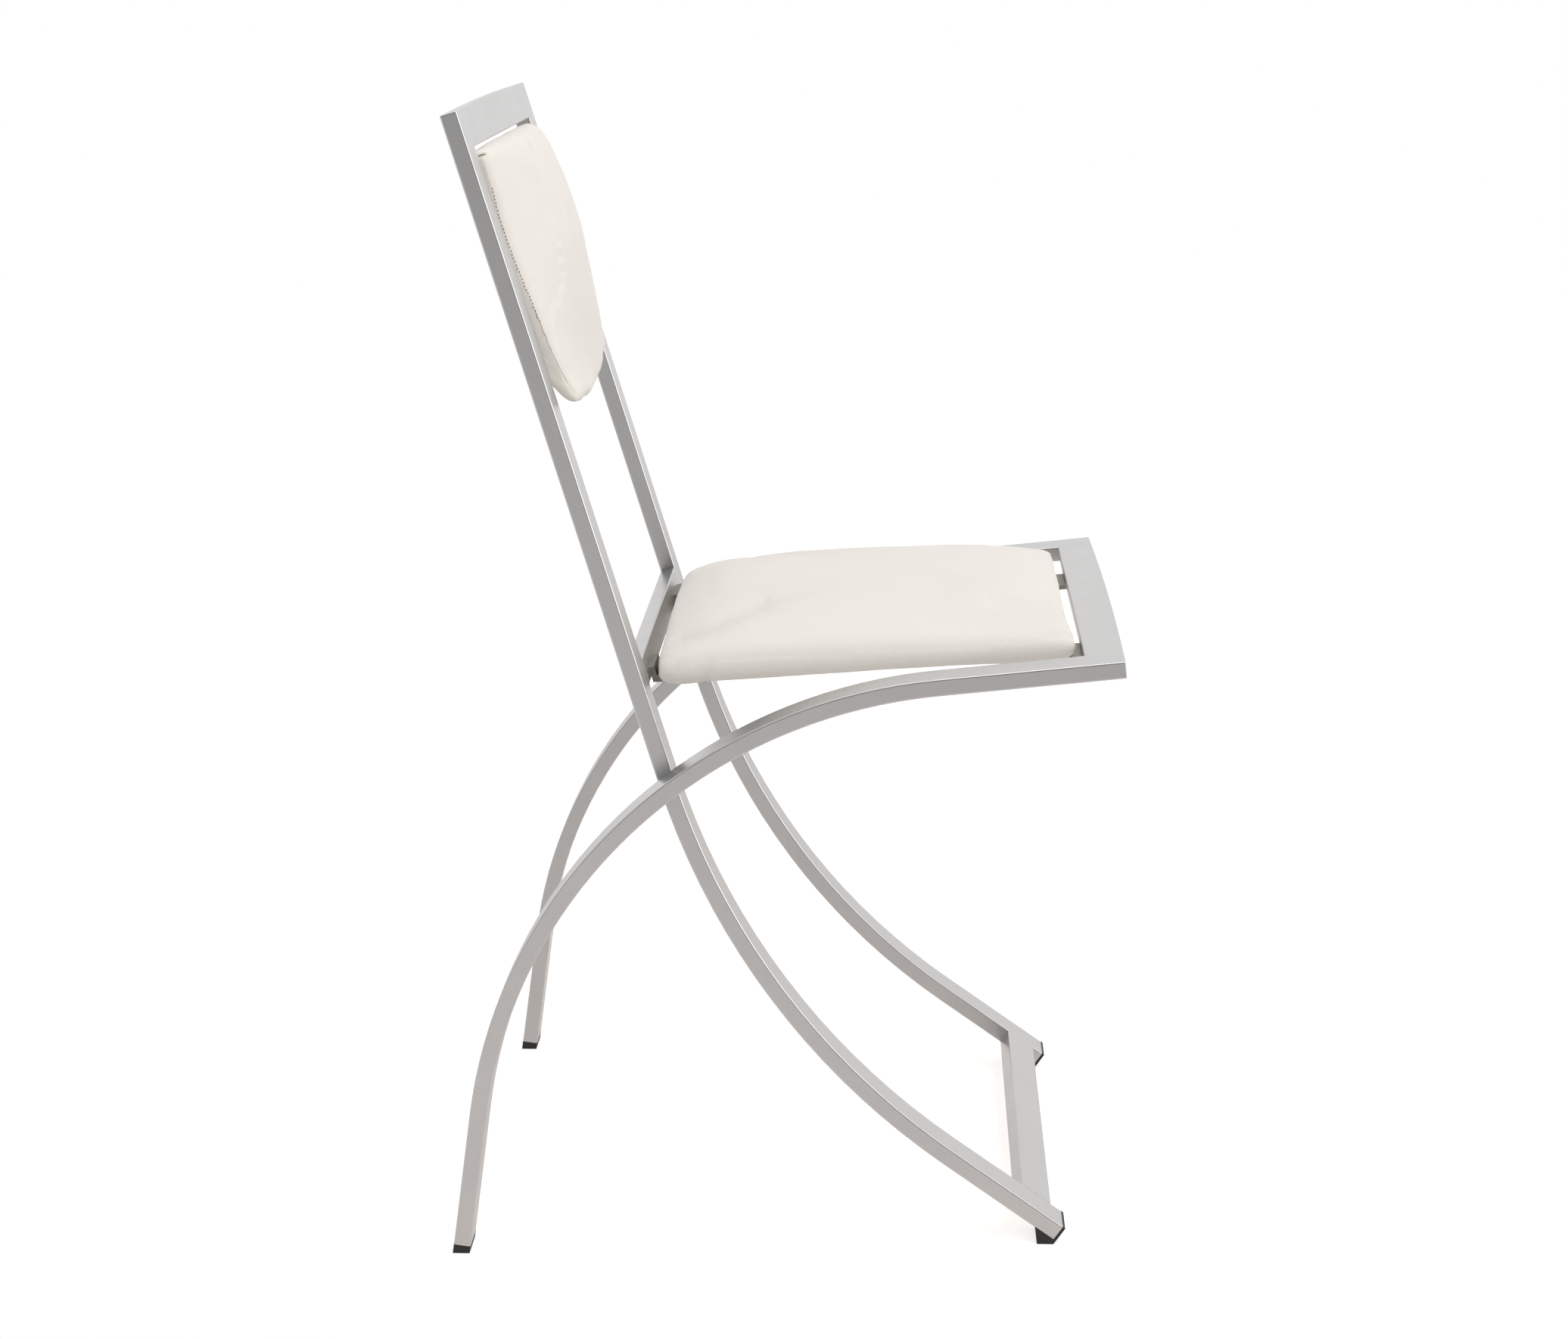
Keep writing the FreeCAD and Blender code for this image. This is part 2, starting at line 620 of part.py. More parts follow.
def seat_section(s):
    """Closed outline of the seat pad at one distance from the front of the rails."""
    size = rounded(min(s - SEAT_FRONT, seat_rear - s), SEAT_EDGE, SEAT_END_FACE)
    share = (s - SEAT_FRONT) / seat_depth
    half = SEAT_FRONT_HALF + (SEAT_REAR_HALF - SEAT_FRONT_HALF) * share ** 2
    half = half - SEAT_CORNER_INSET * (1 - size)
    bottom = SEAT_FRONT_BOTTOM + (SEAT_REAR_BOTTOM - SEAT_FRONT_BOTTOM) * share
    widest = bottom + SEAT_WIDEST_RISE
    crown = SEAT_FRONT_CROWN * (1 - share) * (1 - 2 * share)
    crown += SEAT_MIDDLE_CROWN * 4 * share * (1 - share)
    crown += SEAT_REAR_CROWN * share * (2 * share - 1)
    points = []
    for step in range(SECTION_POINTS):
        turn = 2 * math.pi * (step + 0.5) / SECTION_POINTS
        rise = abs(math.sin(turn))
        if math.sin(turn) > 0:
            n = widest + (crown - widest) * size * rise ** TOP_RISE_POWER
            across = abs(math.cos(turn)) ** TOP_SPREAD_POWER
        else:
            n = widest - SEAT_WIDEST_RISE * size * rise ** UNDER_RISE_POWER
            across = abs(math.cos(turn)) ** UNDER_SPREAD_POWER
        x = math.copysign(half * across, math.cos(turn))
        points.append(seat_line.head(x, s, n))
    return smooth_section(points)


seat_sections = [seat_section(s) for s in spread(SEAT_FRONT, seat_rear, SEAT_EDGE)]
seat_cushion = Part.makeLoft(seat_sections, True, False)


def board_outline(gap, n):
    """Corners of the seat board, drawn in from the pad's edge, with a gap around it."""
    s_front = SEAT_FRONT + BOARD_INSET - gap
    s_rear = seat_rear - BOARD_INSET + gap
    half_front = SEAT_FRONT_HALF - BOARD_SIDE_INSET + gap
    half_rear = SEAT_REAR_HALF - BOARD_SIDE_INSET + gap
    return [
        seat_line.head(-half_front, s_front, n),
        seat_line.head(half_front, s_front, n),
        seat_line.head(half_rear, s_rear, n),
        seat_line.head(-half_rear, s_rear, n),
    ]


# The pad is hollow below the board, and open at both ends where the straps pass
seat_board = prism(board_outline(0, strap_top), seat_line.lift * BOARD_THICKNESS)
hollow_floor = SEAT_REAR_BOTTOM - BOARD_THICKNESS
hollow_roof = strap_top + BOARD_THICKNESS + BOARD_CLEARANCE
hollow = prism(board_outline(BOARD_CLEARANCE, hollow_floor), seat_line.lift * (hollow_roof - hollow_floor))
slot = head_box(
    seat_line, strap_x - STRAP_SLOT_GAP, strap_x + STRAP_WIDTH + STRAP_SLOT_GAP,
    0, seat_rear + SEAT_REAR_GAP, hollow_floor, strap_top + BOARD_CLEARANCE,
)
for opening in (hollow, slot, mirrored(slot)):
    seat_cushion = seat_cushion.cut(opening)
solids["seat_cushion"] = seat_cushion

straps = {"right": strap, "left": mirrored(strap)}
seat_screw_x = strap_centre - SEAT_SCREW_INSET
seat_screw_rows = (("front", SEAT_FRONT + SEAT_SCREW_FROM_FRONT), ("rear", seat_rear - SEAT_SCREW_FROM_REAR))
for side, x in (("right", -seat_screw_x), ("left", seat_screw_x)):
    for name, s in seat_screw_rows:
        base = seat_line.head(x, s, strap_bottom)
        shank_run = STRAP_THICKNESS + SCREW_BITE
        hole = cylinder(SCREW_RADIUS + FIXED_CLEARANCE, shank_run, base, seat_line.lift)
        straps[side] = straps[side].cut(hole)
        seat_board = seat_board.cut(hole)
        shank = cylinder(SCREW_RADIUS, shank_run, base, seat_line.lift)
        head = cylinder(SCREW_HEAD_RADIUS, SCREW_HEAD, base - seat_line.lift * SCREW_HEAD, seat_line.lift)
        solids["seat_screw_" + name + "_" + side] = shank.fuse(head).removeSplitter()
    solids["seat_strap_" + side] = straps[side]
solids["seat_board"] = seat_board

os.makedirs("parts", exist_ok=True)
for name, shape in solids.items():
    shape.exportStep("parts/" + name + ".step")
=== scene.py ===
import json
import math
from collections import namedtuple

import bpy
import numpy as np
from mathutils import Matrix, Vector, noise
from mathutils.bvhtree import BVHTree


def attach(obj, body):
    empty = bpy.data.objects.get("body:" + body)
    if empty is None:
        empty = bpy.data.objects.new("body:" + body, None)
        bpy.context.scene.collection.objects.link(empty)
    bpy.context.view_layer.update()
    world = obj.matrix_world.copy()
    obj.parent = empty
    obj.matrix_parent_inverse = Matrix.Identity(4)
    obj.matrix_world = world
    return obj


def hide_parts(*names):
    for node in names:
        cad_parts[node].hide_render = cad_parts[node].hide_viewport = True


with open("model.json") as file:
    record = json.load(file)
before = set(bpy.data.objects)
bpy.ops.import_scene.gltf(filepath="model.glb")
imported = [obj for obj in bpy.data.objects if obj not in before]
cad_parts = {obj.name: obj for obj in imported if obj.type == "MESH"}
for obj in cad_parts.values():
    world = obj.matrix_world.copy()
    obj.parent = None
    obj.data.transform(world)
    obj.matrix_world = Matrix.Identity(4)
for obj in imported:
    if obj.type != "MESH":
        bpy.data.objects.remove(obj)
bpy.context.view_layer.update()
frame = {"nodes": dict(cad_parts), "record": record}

nodes = frame["nodes"]

# Lengths are in metres and angles in degrees; the sitter's right is the side that the camera sees
RIGHT = 1
LEFT = -1

# Camera
CAMERA_PLACE = (-2.5084, -0.0847, 0.9955)
CAMERA_YAW = 2.142
CAMERA_PITCH = 10.825
CAMERA_LENS = 73.37
CAMERA_SENSOR = 36.0
CAMERA_SHIFT_Y = -0.0893

# Floor, which glows a little so that it shows white, and warmer where the metal mirrors it close by
FLOOR_HALF = 6.0
FLOOR_NEAR = 0.39
FLOOR_COLOUR = (0.82, 0.79, 0.76, 1)
FLOOR_ROUGHNESS = 0.9
FLOOR_GLOW = 0.66
FLOOR_SHEEN = 0.30
FLOOR_WARMTH = (1, 0.98, 0.965, 1)
FLOOR_MIRRORED = (1, 0.90, 0.875, 1)
FLOOR_MIRRORED_TO = 3.0

# Studio walls by direction, with spans given as parts of a unit vector
WHITE = (1, 1, 1, 1)
AMBIENT = 0.55
NEAR_SPAN = (-0.86, -0.30)
NEAR_HEIGHTS = (-0.38, 0.14)
NEAR_COLOURS = ((0.0, (0.97, 0.915, 0.897)), (0.37, (0.66, 0.664, 0.658)), (1.0, (0.05, 0.056, 0.066)))
NEAR_SIDES = (-0.16, 0.16)
NEAR_SIDE_TONES = (0.86, 1.12)
FRONT_SPAN = (-0.80, -0.96)
FRONT_GLOW = 2.2

# Soft boxes: name, place, aim, side, power, and whether the metal mirrors them
SOFT_BOXES = (
    ("top_box", (-0.3, -0.5, 2.6), (0, 0, 0.4), 2.2, 21, True),
    ("front_box", (-0.6, -2.6, 1.5), (0, 0, 0.45), 1.8, 13, True),
    ("side_fill", (-3.0, -0.2, 1.2), (0, 0, 0.45), 2.0, 10, False),
)

# Lines that the pads lie along: where each starts and its slope in the YZ plane
SEAT_START = (0, -0.24905, 0.45890)
SEAT_ANGLE = -4.09
POST_START = (0, 0.24350, 0.85791)
POST_ANGLE = -107.29

# A valley along a line on a pad, or a ridge where its depth is below nought, fading from end to end; its
# shade is the strength of painted shade along it
Press = namedtuple("Press", "width depth ends shade")

# A bump around one place on a pad
Bulge = namedtuple("Bulge", "place width height")

# Seat pad, with places given as x, distance back from the front rail's front, and height above its line
SEAT_VOXEL = 0.0045
SEAT_SHRINK = 0.0008
SEAT_SWELL_LIMIT = 0.0010
SEAT_HELD_BELOW = 0.0075
SEAT_HALF = 0.168
SEAT_MIDDLE = 0.192
SEAT_HALF_DEPTH = 0.155
SEAT_ENDS = (SEAT_MIDDLE - SEAT_HALF_DEPTH, SEAT_MIDDLE + SEAT_HALF_DEPTH)
SEAT_UNDERSIDE = (-0.0083, -0.013)
# Painted shade along the seat pad's lowest band, where the leather tucks under
SEAT_TUCK_HEIGHT = 0.0035
SEAT_TUCK_SHADE = 0.5
SEAT_DRAW_IN = 0.0015
SEAT_WAVE = 0.0005
SEAT_WAVE_SCALE = 22.0
SEAT_VALLEY = (
    (-0.134, 0.328, 0.020), (-0.131, 0.308, 0.027), (-0.115, 0.288, 0.031),
    (-0.094, 0.262, 0.035), (-0.072, 0.236, 0.037), (-0.048, 0.206, 0.0385),
)
SEAT_VALLEY_PRESS = Press(width=0.012, depth=0.0034, ends=(1, 0), shade=0.15)
SEAT_EAR = Bulge(place=(-0.146, 0.341, 0.001), width=0.024, height=0.0024)
SEAT_LOBE = Bulge(place=(-0.148, 0.331, -0.012), width=0.014, height=0.0020)
SEAT_CORNER = Bulge(place=(-0.158, 0.042, -0.002), width=0.030, height=0.0034)
SEAT_BELLY = ((-0.166, 0.050, -0.005), (-0.169, 0.100, -0.006), (-0.168, 0.180, -0.008))
SEAT_BELLY_PRESS = Press(width=0.012, depth=-0.0026, ends=(1, 0), shade=0.0)
SEAT_FOLDS = (
    ((-0.148, 0.316, -0.014), (-0.160, 0.313, -0.004), (-0.163, 0.308, 0.006)),
    ((-0.140, 0.345, -0.006), (-0.153, 0.336, 0.000), (-0.160, 0.326, 0.006)),
    ((-0.128, 0.346, 0.002), (-0.142, 0.339, 0.009), (-0.149, 0.330, 0.014)),
    ((-0.156, 0.039, 0.002), (-0.163, 0.047, 0.007), (-0.165, 0.058, 0.012)),
    ((-0.148, 0.038, -0.002), (-0.158, 0.041, -0.004), (-0.166, 0.050, -0.003)),
)
SEAT_FOLD_PRESS = Press(width=0.0036, depth=0.0011, ends=(1, 0.2), shade=0.22)

# Back pad, with places given as x, distance down from the posts' top, and forward reach
BACK_VOXEL = 0.0032
BACK_SHRINK = 0.0006
BACK_SWELL_LIMIT = 0.0009
BACK_HELD_BELOW = 0.006
BACK_WAVE = 0.0004
BACK_WAVE_SCALE = 24.0
BACK_TOP = 0.033
BACK_DEPTH = 0.200
BACK_HALF = 0.168
BACK_BOARD_END = 0.203
BACK_ASKEW = 0.0074
BACK_ASKEW_FROM = 0.72
BACK_ASKEW_POWER = 2.0
BACK_FRONT_HEM = (
    (-0.160, 0.2235, 0.0185), (-0.080, 0.2300, 0.0200), (0.080, 0.2300, 0.0200), (0.160, 0.2235, 0.0185),
)
BACK_FRONT_HEM_PRESS = Press(width=0.009, depth=-0.0009, ends=(1, 1), shade=0.0)
BACK_REAR_HEM = (
    (-0.160, 0.226, 0.0030), (-0.080, 0.231, 0.0030), (0.080, 0.231, 0.0030), (0.160, 0.226, 0.0030),
)
BACK_REAR_HEM_PRESS = Press(width=0.009, depth=-0.0026, ends=(1, 1), shade=0.0)
BACK_LOW_SPAN = (0.208, 0.226)
BACK_LOW_ROUNDS = 24
BACK_LOW_DROP = 0.0013
BACK_CREASES = (
    ((-0.034, 0.042, 0.0250), (-0.046, 0.046, 0.0275), (-0.060, 0.051, 0.0295)),
    ((-0.046, 0.046, 0.0275), (-0.042, 0.053, 0.0300)),
)
BACK_CREASE_PRESS = Press(width=0.0030, depth=0.0006, ends=(1, 0.3), shade=0.16)

# Seam and slit at each side of the back pad, with painted shade pressed into both and thin dark tubes as
# painted shade in their gaps
BACK_SEAM = (
    (-0.168, 0.040, 0.0096), (-0.168, 0.053, 0.0098), (-0.168, 0.086, 0.0078), (-0.168, 0.118, 0.0084),
    (-0.168, 0.161, 0.0120), (-0.167, 0.197, 0.0140), (-0.164, 0.224, 0.0137),
)
SEAM_ROLL_PRESS = Press(width=0.0065, depth=0.0007, ends=(1, 0.6), shade=0.30)
SEAM_PRESS = Press(width=0.0022, depth=0.0008, ends=(0.7, 1), shade=0.42)
SEAM_GAP_FROM = 0.150
SEAM_GAP_RADIUS = 0.00026
BACK_SLIT = ((-0.166, 0.0365, 0.0070), (-0.161, 0.0362, 0.0088), (-0.155, 0.0366, 0.0105))
SLIT_PRESS = Press(width=0.0024, depth=0.0026, ends=(1, 0.4), shade=1.0)
SLIT_GAP_RADIUS = 0.0007
GAP_SINK = 0.00012
GAP_END_SHARE = 0.2
GAP_TAPER = 6
THREAD_SIDES = 8
STITCH_SPAN = (0.062, 0.168)
STITCH_PITCH = 0.0028
STITCH_LENGTH = 0.0014
STITCH_RADIUS = 0.00042
STITCH_RINGS = 9
STITCH_STAND = 0.2
STITCH_DIP = 0.5
STITCH_TAPER = 0.9

# Cloth and smoothing
CLOTH_FRAMES = 20
CLOTH_QUALITY = 5
CLOTH_PRESSURE = 5.0
CLOTH_STIFFNESS = 20
CLOTH_BENDING = 2
SINK_LIMIT = 0.0004
SMOOTH_ROUNDS = 14
SMOOTH_PULL = 0.50
SMOOTH_PUSH = 0.52
SNAP_FACING = 0.6
LINE_STEP = 0.002

# Shading: a noise is given as scale and detail, a bump as strength and depth, an edge as width and limits
NOISE_SPAN = (0.3, 0.7)
WHOLE_SPAN = (0.0, 1.0)
EDGE_SAMPLES = 4

# Satin silver paint
PAINT_CLOUD = (9.0, 4.0)
PAINT_COLOURS = ((0.3, (0.548, 0.541, 0.537)), (0.7, (0.574, 0.566, 0.562)))
PAINT_FLAKE = (2600.0, 1.0)
PAINT_FLAKE_COLOURS = ((0.35, (0.50, 0.494, 0.490)), (0.7, (0.64, 0.629, 0.620)))
PAINT_FLAKE_SHARE = 0.35
PAINT_FLAKE_BUMP = (0.06, 0.0001)
# Paler edges: partly worn paint and partly a painted highlight along the rounded edges, in patches and kept
# off the welded corners
PAINT_EDGE = (0.0012, 0.90, 0.99)
PAINT_EDGE_PATCHES = (34.0, 4.0)
PAINT_EDGE_PATCH_SPAN = (0.35, 0.65)
PAINT_EDGE_PATCH_SHARES = (0.15, 0.75)
PAINT_WORN_AND_HIGHLIGHT = (0.82, 0.815, 0.81, 1)
PAINT_GLOSS = (40.0, 5.0)
PAINT_ROUGHNESS = (0.295, 0.340)
PAINT_PEEL = (420.0, 2.0)
PAINT_PEEL_BUMP = (0.10, 0.0004)
PAINT_METALLIC = 0.92
TOP_CORNER_HEIGHTS = (0.80, 0.82)
FRONT_CORNER_HEIGHTS = (0.43, 0.44)
FRONT_CORNER_PLACES = (-0.21, -0.20)

# Cream leather
LEATHER_DRIFT = (7.0, 4.0)
LEATHER_COLOURS = (
    (0.25, (0.825, 0.775, 0.705)), (0.55, (0.865, 0.822, 0.758)), (0.8, (0.885, 0.835, 0.782)),
)
LEATHER_PORE_SCALE = 760.0
LEATHER_FLECKS = ((0.1, (0.80, 0.745, 0.67)), (0.6, (0.875, 0.83, 0.77)))
LEATHER_FLECK_SHARE = 0.22
# Painted shade: the colour the leather is darkened towards in folds, valleys, seams, slits and along the
# seat's tucked lower edge
LEATHER_CREASE_SHADE = (0.42, 0.36, 0.29, 1)
LEATHER_CREASE_SHADE_SHARES = (0.0, 0.85)
LEATHER_GLOSS = (55.0, 4.0)
LEATHER_ROUGHNESS = (0.44, 0.56)
LEATHER_FOLDS = (90.0, 5.0)
LEATHER_FOLD_ROUGHNESS = 0.6
LEATHER_FOLD_BUMP = (0.14, 0.0012)
LEATHER_PORE_BUMP = (0.22, 0.0004)
LEATHER_SHEEN = 0.08
LEATHER_SHEEN_ROUGHNESS = 0.4
LEATHER_SPECULAR = 0.4

# Sewing thread, whose dark colour also serves as painted shade for the tubes in the seam's gap and the
# slits
THREAD_TWIST_SCALE = 900.0
THREAD_TWIST_DISTORTION = 1.0
THREAD_AND_GAP_SHADE_COLOURS = ((0.2, (0.14, 0.120, 0.098)), (0.8, (0.26, 0.228, 0.190)))
THREAD_ROUGHNESS = 0.6
THREAD_BUMP = (0.3, 0.0002)

# Black plastic of the feet
PLASTIC_SCUFF = (120.0, 5.0)
PLASTIC_COLOURS = ((0.35, (0.012, 0.0115, 0.011)), (0.75, (0.028, 0.026, 0.024)))
PLASTIC_EDGE = (0.0010, 0.85, 0.99)
PLASTIC_WORN = (0.075, 0.072, 0.068, 1)
PLASTIC_WORN_SHARES = (0.0, 0.5)
PLASTIC_ROUGHNESS = (0.45, 0.65)
PLASTIC_SPARK = (1500.0, 2.0)
PLASTIC_SPARK_BUMP = (0.25, 0.0003)

# Nylon of the bushes
NYLON_CLOUD = (260.0, 4.0)
NYLON_COLOURS = ((0.3, (0.022, 0.022, 0.022)), (0.7, (0.045, 0.044, 0.043)))
NYLON_ROUGHNESS = (0.32, 0.48)
NYLON_BUMP = (0.1, 0.0002)

# Steel of the straps
STRAP_STRETCH = (900.0, 30.0, 30.0)
STRAP_STREAK = (1.0, 3.0)
STRAP_COLOURS = ((0.3, (0.20, 0.19, 0.172)), (0.7, (0.31, 0.295, 0.27)))
STRAP_CLOUD = (60.0, 4.0)
STRAP_STAINS = ((0.4, (0.30, 0.285, 0.26)), (0.75, (0.20, 0.175, 0.145)))
STRAP_STAIN_SHARE = 0.4
STRAP_EDGE = (0.0010, 0.85, 0.99)
STRAP_WORN = (0.5, 0.48, 0.45, 1)
STRAP_WORN_SHARES = (0.0, 0.6)
STRAP_ROUGHNESS = (0.32, 0.5)
STRAP_BUMP = (0.12, 0.0003)
STRAP_METALLIC = 0.9

# Zinc of the fasteners
ZINC_SPANGLE_SCALE = 900.0
ZINC_COLOURS = ((0.2, (0.47, 0.475, 0.48)), (0.8, (0.62, 0.62, 0.60)))
ZINC_ROUGHNESS = (0.26, 0.42)
ZINC_BUMP = (0.05, 0.0002)
ZINC_METALLIC = 1.0

# Lining of the boards
LINING_WEAVE_SCALE = 260.0
LINING_WEAVE_DISTORTION = 0.6
LINING_COLOURS = ((0.1, (0.045, 0.040, 0.036)), (0.8, (0.105, 0.095, 0.085)))
LINING_FUZZ = (45.0, 5.0)
LINING_FADED = ((0.35, (0.060, 0.054, 0.048)), (0.75, (0.12, 0.11, 0.098)))
LINING_FADED_SHARE = 0.45
LINING_ROUGHNESS = (0.75, 0.92)
LINING_BUMP = (0.4, 0.0004)
LINING_SHEEN = 0.15


def fill(tree, socket, value):
    """Connects a socket to another node's output, or sets its value."""
    if isinstance(value, bpy.types.NodeSocket):
        tree.links.new(value, socket)
    else:
        socket.default_value = value


def fill_inputs(tree, node, inputs):
    for key, value in inputs.items():
        fill(tree, node.inputs[key], value)


def add(tree, kind, inputs=None, **settings):
    """Adds a shader node, sets it up and connects or fills its inputs."""
    made = tree.nodes.new(kind)
    for key, value in settings.items():
        setattr(made, key, value)
    fill_inputs(tree, made, inputs or {})
    return made


def math_of(tree, operation, first, second):
    return add(tree, "ShaderNodeMath", {0: first, 1: second}, operation=operation).outputs[0]


def ramp(tree, value, stops):
    """Colour ramp over a value, from (position, colour) stops."""
    made = add(tree, "ShaderNodeValToRGB", {"Fac": value})
    elements = made.color_ramp.elements
    while len(elements) < len(stops):
        elements.new(0.5)
    for element, (place, colour) in zip(elements, stops):
        element.position = place
        element.color = (*colour, 1)
    return made.outputs["Color"]


def level(tree, value, span, out_span):
    """Maps a value from one range to another."""
    low, high = span
    out_low, out_high = out_span
    made = add(tree, "ShaderNodeMapRange", {
        "Value": value, "From Min": low, "From Max": high, "To Min": out_low, "To Max": out_high,
    })
    return made.outputs["Result"]


def noise_of(tree, place, scale, detail, roughness=0.5):
    made = add(tree, "ShaderNodeTexNoise", {
        "Vector": place, "Scale": scale, "Detail": detail, "Roughness": roughness,
    })
    return made.outputs["Fac"]


def wave_of(tree, place, scale, distortion, direction):
    made = add(tree, "ShaderNodeTexWave", {
        "Vector": place, "Scale": scale, "Distortion": distortion,
    }, bands_direction=direction)
    return made.outputs["Fac"]


def bump(tree, height, size, normal=None):
    strength, distance = size
    made = add(tree, "ShaderNodeBump", {"Height": height, "Strength": strength, "Distance": distance})
    if normal is not None:
        tree.links.new(normal, made.inputs["Normal"])
    return made.outputs["Normal"]


def mix_colour(tree, factor, first, second):
    made = add(tree, "ShaderNodeMix", data_type="RGBA")
    for key, value in (("Factor", factor), ("A", first), ("B", second)):
        socket = [s for s in made.inputs if s.name == key and s.enabled][0]
        fill(tree, socket, value)
    return [s for s in made.outputs if s.enabled][0]


def edge_mask(tree, radius, low, high):
    """One on sharp edges and nought on flats."""
    soft = add(tree, "ShaderNodeBevel", {"Radius": radius}, samples=EDGE_SAMPLES).outputs["Normal"]
    flat = add(tree, "ShaderNodeNewGeometry").outputs["Normal"]
    turn = add(tree, "ShaderNodeVectorMath", {0: soft, 1: flat}, operation="DOT_PRODUCT")
    return level(tree, turn.outputs["Value"], (high, low), WHOLE_SPAN)


def new_material(name):
    """A new material, its node tree, its surface shader and object coordinates."""
    made = bpy.data.materials.new(name)
    made.use_nodes = True
    tree = made.node_tree
    surface = tree.nodes["Principled BSDF"]
    place = add(tree, "ShaderNodeTexCoord").outputs["Object"]
    return made, tree, surface, place


def away_from_corners(tree, place):
    """Nought around the welded corners at the frame's top and front, and one elsewhere."""
    split = add(tree, "ShaderNodeSeparateXYZ", {"Vector": place}).outputs
    below_top = level(tree, split["Z"], TOP_CORNER_HEIGHTS, (1.0, 0.0))
    high = level(tree, split["Z"], FRONT_CORNER_HEIGHTS, (0.0, 1.0))
    front = level(tree, split["Y"], FRONT_CORNER_PLACES, (1.0, 0.0))
    clear = level(tree, math_of(tree, "MULTIPLY", high, front), WHOLE_SPAN, (1.0, 0.0))
    return math_of(tree, "MULTIPLY", below_top, clear)


def frame_paint():
    """Satin silver paint with fine metal flake, paler along its edges: partly worn paint and partly a
    painted highlight.
    """
    made, tree, surface, place = new_material("frame_paint")
    flake = noise_of(tree, place, *PAINT_FLAKE)
    coat = ramp(tree, noise_of(tree, place, *PAINT_CLOUD), PAINT_COLOURS)
    colour = mix_colour(tree, PAINT_FLAKE_SHARE, coat, ramp(tree, flake, PAINT_FLAKE_COLOURS))
    rubbed = level(tree, noise_of(tree, place, *PAINT_EDGE_PATCHES), PAINT_EDGE_PATCH_SPAN, PAINT_EDGE_PATCH_SHARES)
    # Paler edges, partly worn paint and partly a painted highlight
    pale_edge = edge_mask(tree, *PAINT_EDGE)
    for share in (rubbed, away_from_corners(tree, place)):
        pale_edge = math_of(tree, "MULTIPLY", pale_edge, share)
    peel = bump(tree, noise_of(tree, place, *PAINT_PEEL), PAINT_PEEL_BUMP)
    fill_inputs(tree, surface, {
        "Base Color": mix_colour(tree, pale_edge, colour, PAINT_WORN_AND_HIGHLIGHT),
        "Roughness": level(tree, noise_of(tree, place, *PAINT_GLOSS), NOISE_SPAN, PAINT_ROUGHNESS),
        "Normal": bump(tree, flake, PAINT_FLAKE_BUMP, peel),
        "Metallic": PAINT_METALLIC,
    })
    return made


def leather():
    """Cream leather: fine pebble grain, soft colour drift, and painted shade darkening it in folds,
    valleys, seams and slits.
    """
    made, tree, surface, place = new_material("cream_leather")
    hide = ramp(tree, noise_of(tree, place, *LEATHER_DRIFT), LEATHER_COLOURS)
    pores = add(tree, "ShaderNodeTexVoronoi", {
        "Vector": place, "Scale": LEATHER_PORE_SCALE,
    }, feature="SMOOTH_F1").outputs["Distance"]
    colour = mix_colour(tree, LEATHER_FLECK_SHARE, hide, ramp(tree, pores, LEATHER_FLECKS))
    # Painted shade, noted on the pads' points, darkens the leather
    crease_shade = add(tree, "ShaderNodeAttribute", attribute_name="crease_shade").outputs["Fac"]
    painted_shade = level(tree, crease_shade, WHOLE_SPAN, LEATHER_CREASE_SHADE_SHARES)
    wrinkle = noise_of(tree, place, *LEATHER_FOLDS, LEATHER_FOLD_ROUGHNESS)
    folds = bump(tree, wrinkle, LEATHER_FOLD_BUMP)
    fill_inputs(tree, surface, {
        "Base Color": mix_colour(tree, painted_shade, colour, LEATHER_CREASE_SHADE),
        "Roughness": level(tree, noise_of(tree, place, *LEATHER_GLOSS), NOISE_SPAN, LEATHER_ROUGHNESS),
        "Normal": bump(tree, pores, LEATHER_PORE_BUMP, folds),
        "Sheen Weight": LEATHER_SHEEN,
        "Sheen Roughness": LEATHER_SHEEN_ROUGHNESS,
        "Specular IOR Level": LEATHER_SPECULAR,
    })
    return made


def thread():
    """Waxed sewing thread with a tight twist, also the painted shade of the dark tubes in the seam's gap
    and the slits.
    """
    made, tree, surface, place = new_material("seam_thread_and_gap_shade")
    twist = wave_of(tree, place, THREAD_TWIST_SCALE, THREAD_TWIST_DISTORTION, "DIAGONAL")
    fill_inputs(tree, surface, {
        "Base Color": ramp(tree, twist, THREAD_AND_GAP_SHADE_COLOURS),
        "Roughness": THREAD_ROUGHNESS,
        "Normal": bump(tree, twist, THREAD_BUMP),
    })
    return made


def black_plastic():
    """Moulded black plastic with a fine spark texture and scuffed edges."""
    made, tree, surface, place = new_material("black_plastic")
    scuff = noise_of(tree, place, *PLASTIC_SCUFF)
    pale_edge = level(tree, edge_mask(tree, *PLASTIC_EDGE), WHOLE_SPAN, PLASTIC_WORN_SHARES)
    fill_inputs(tree, surface, {
        "Base Color": mix_colour(tree, pale_edge, ramp(tree, scuff, PLASTIC_COLOURS), PLASTIC_WORN),
        "Roughness": level(tree, scuff, NOISE_SPAN, PLASTIC_ROUGHNESS),
        "Normal": bump(tree, noise_of(tree, place, *PLASTIC_SPARK), PLASTIC_SPARK_BUMP),
    })
    return made


def nylon():
    """Black bearing nylon, smoother than the feet."""
    made, tree, surface, place = new_material("bush_nylon")
    cloud = noise_of(tree, place, *NYLON_CLOUD)
    fill_inputs(tree, surface, {
        "Base Color": ramp(tree, cloud, NYLON_COLOURS),
        "Roughness": level(tree, cloud, NOISE_SPAN, NYLON_ROUGHNESS),
        "Normal": bump(tree, cloud, NYLON_BUMP),
    })
    return made


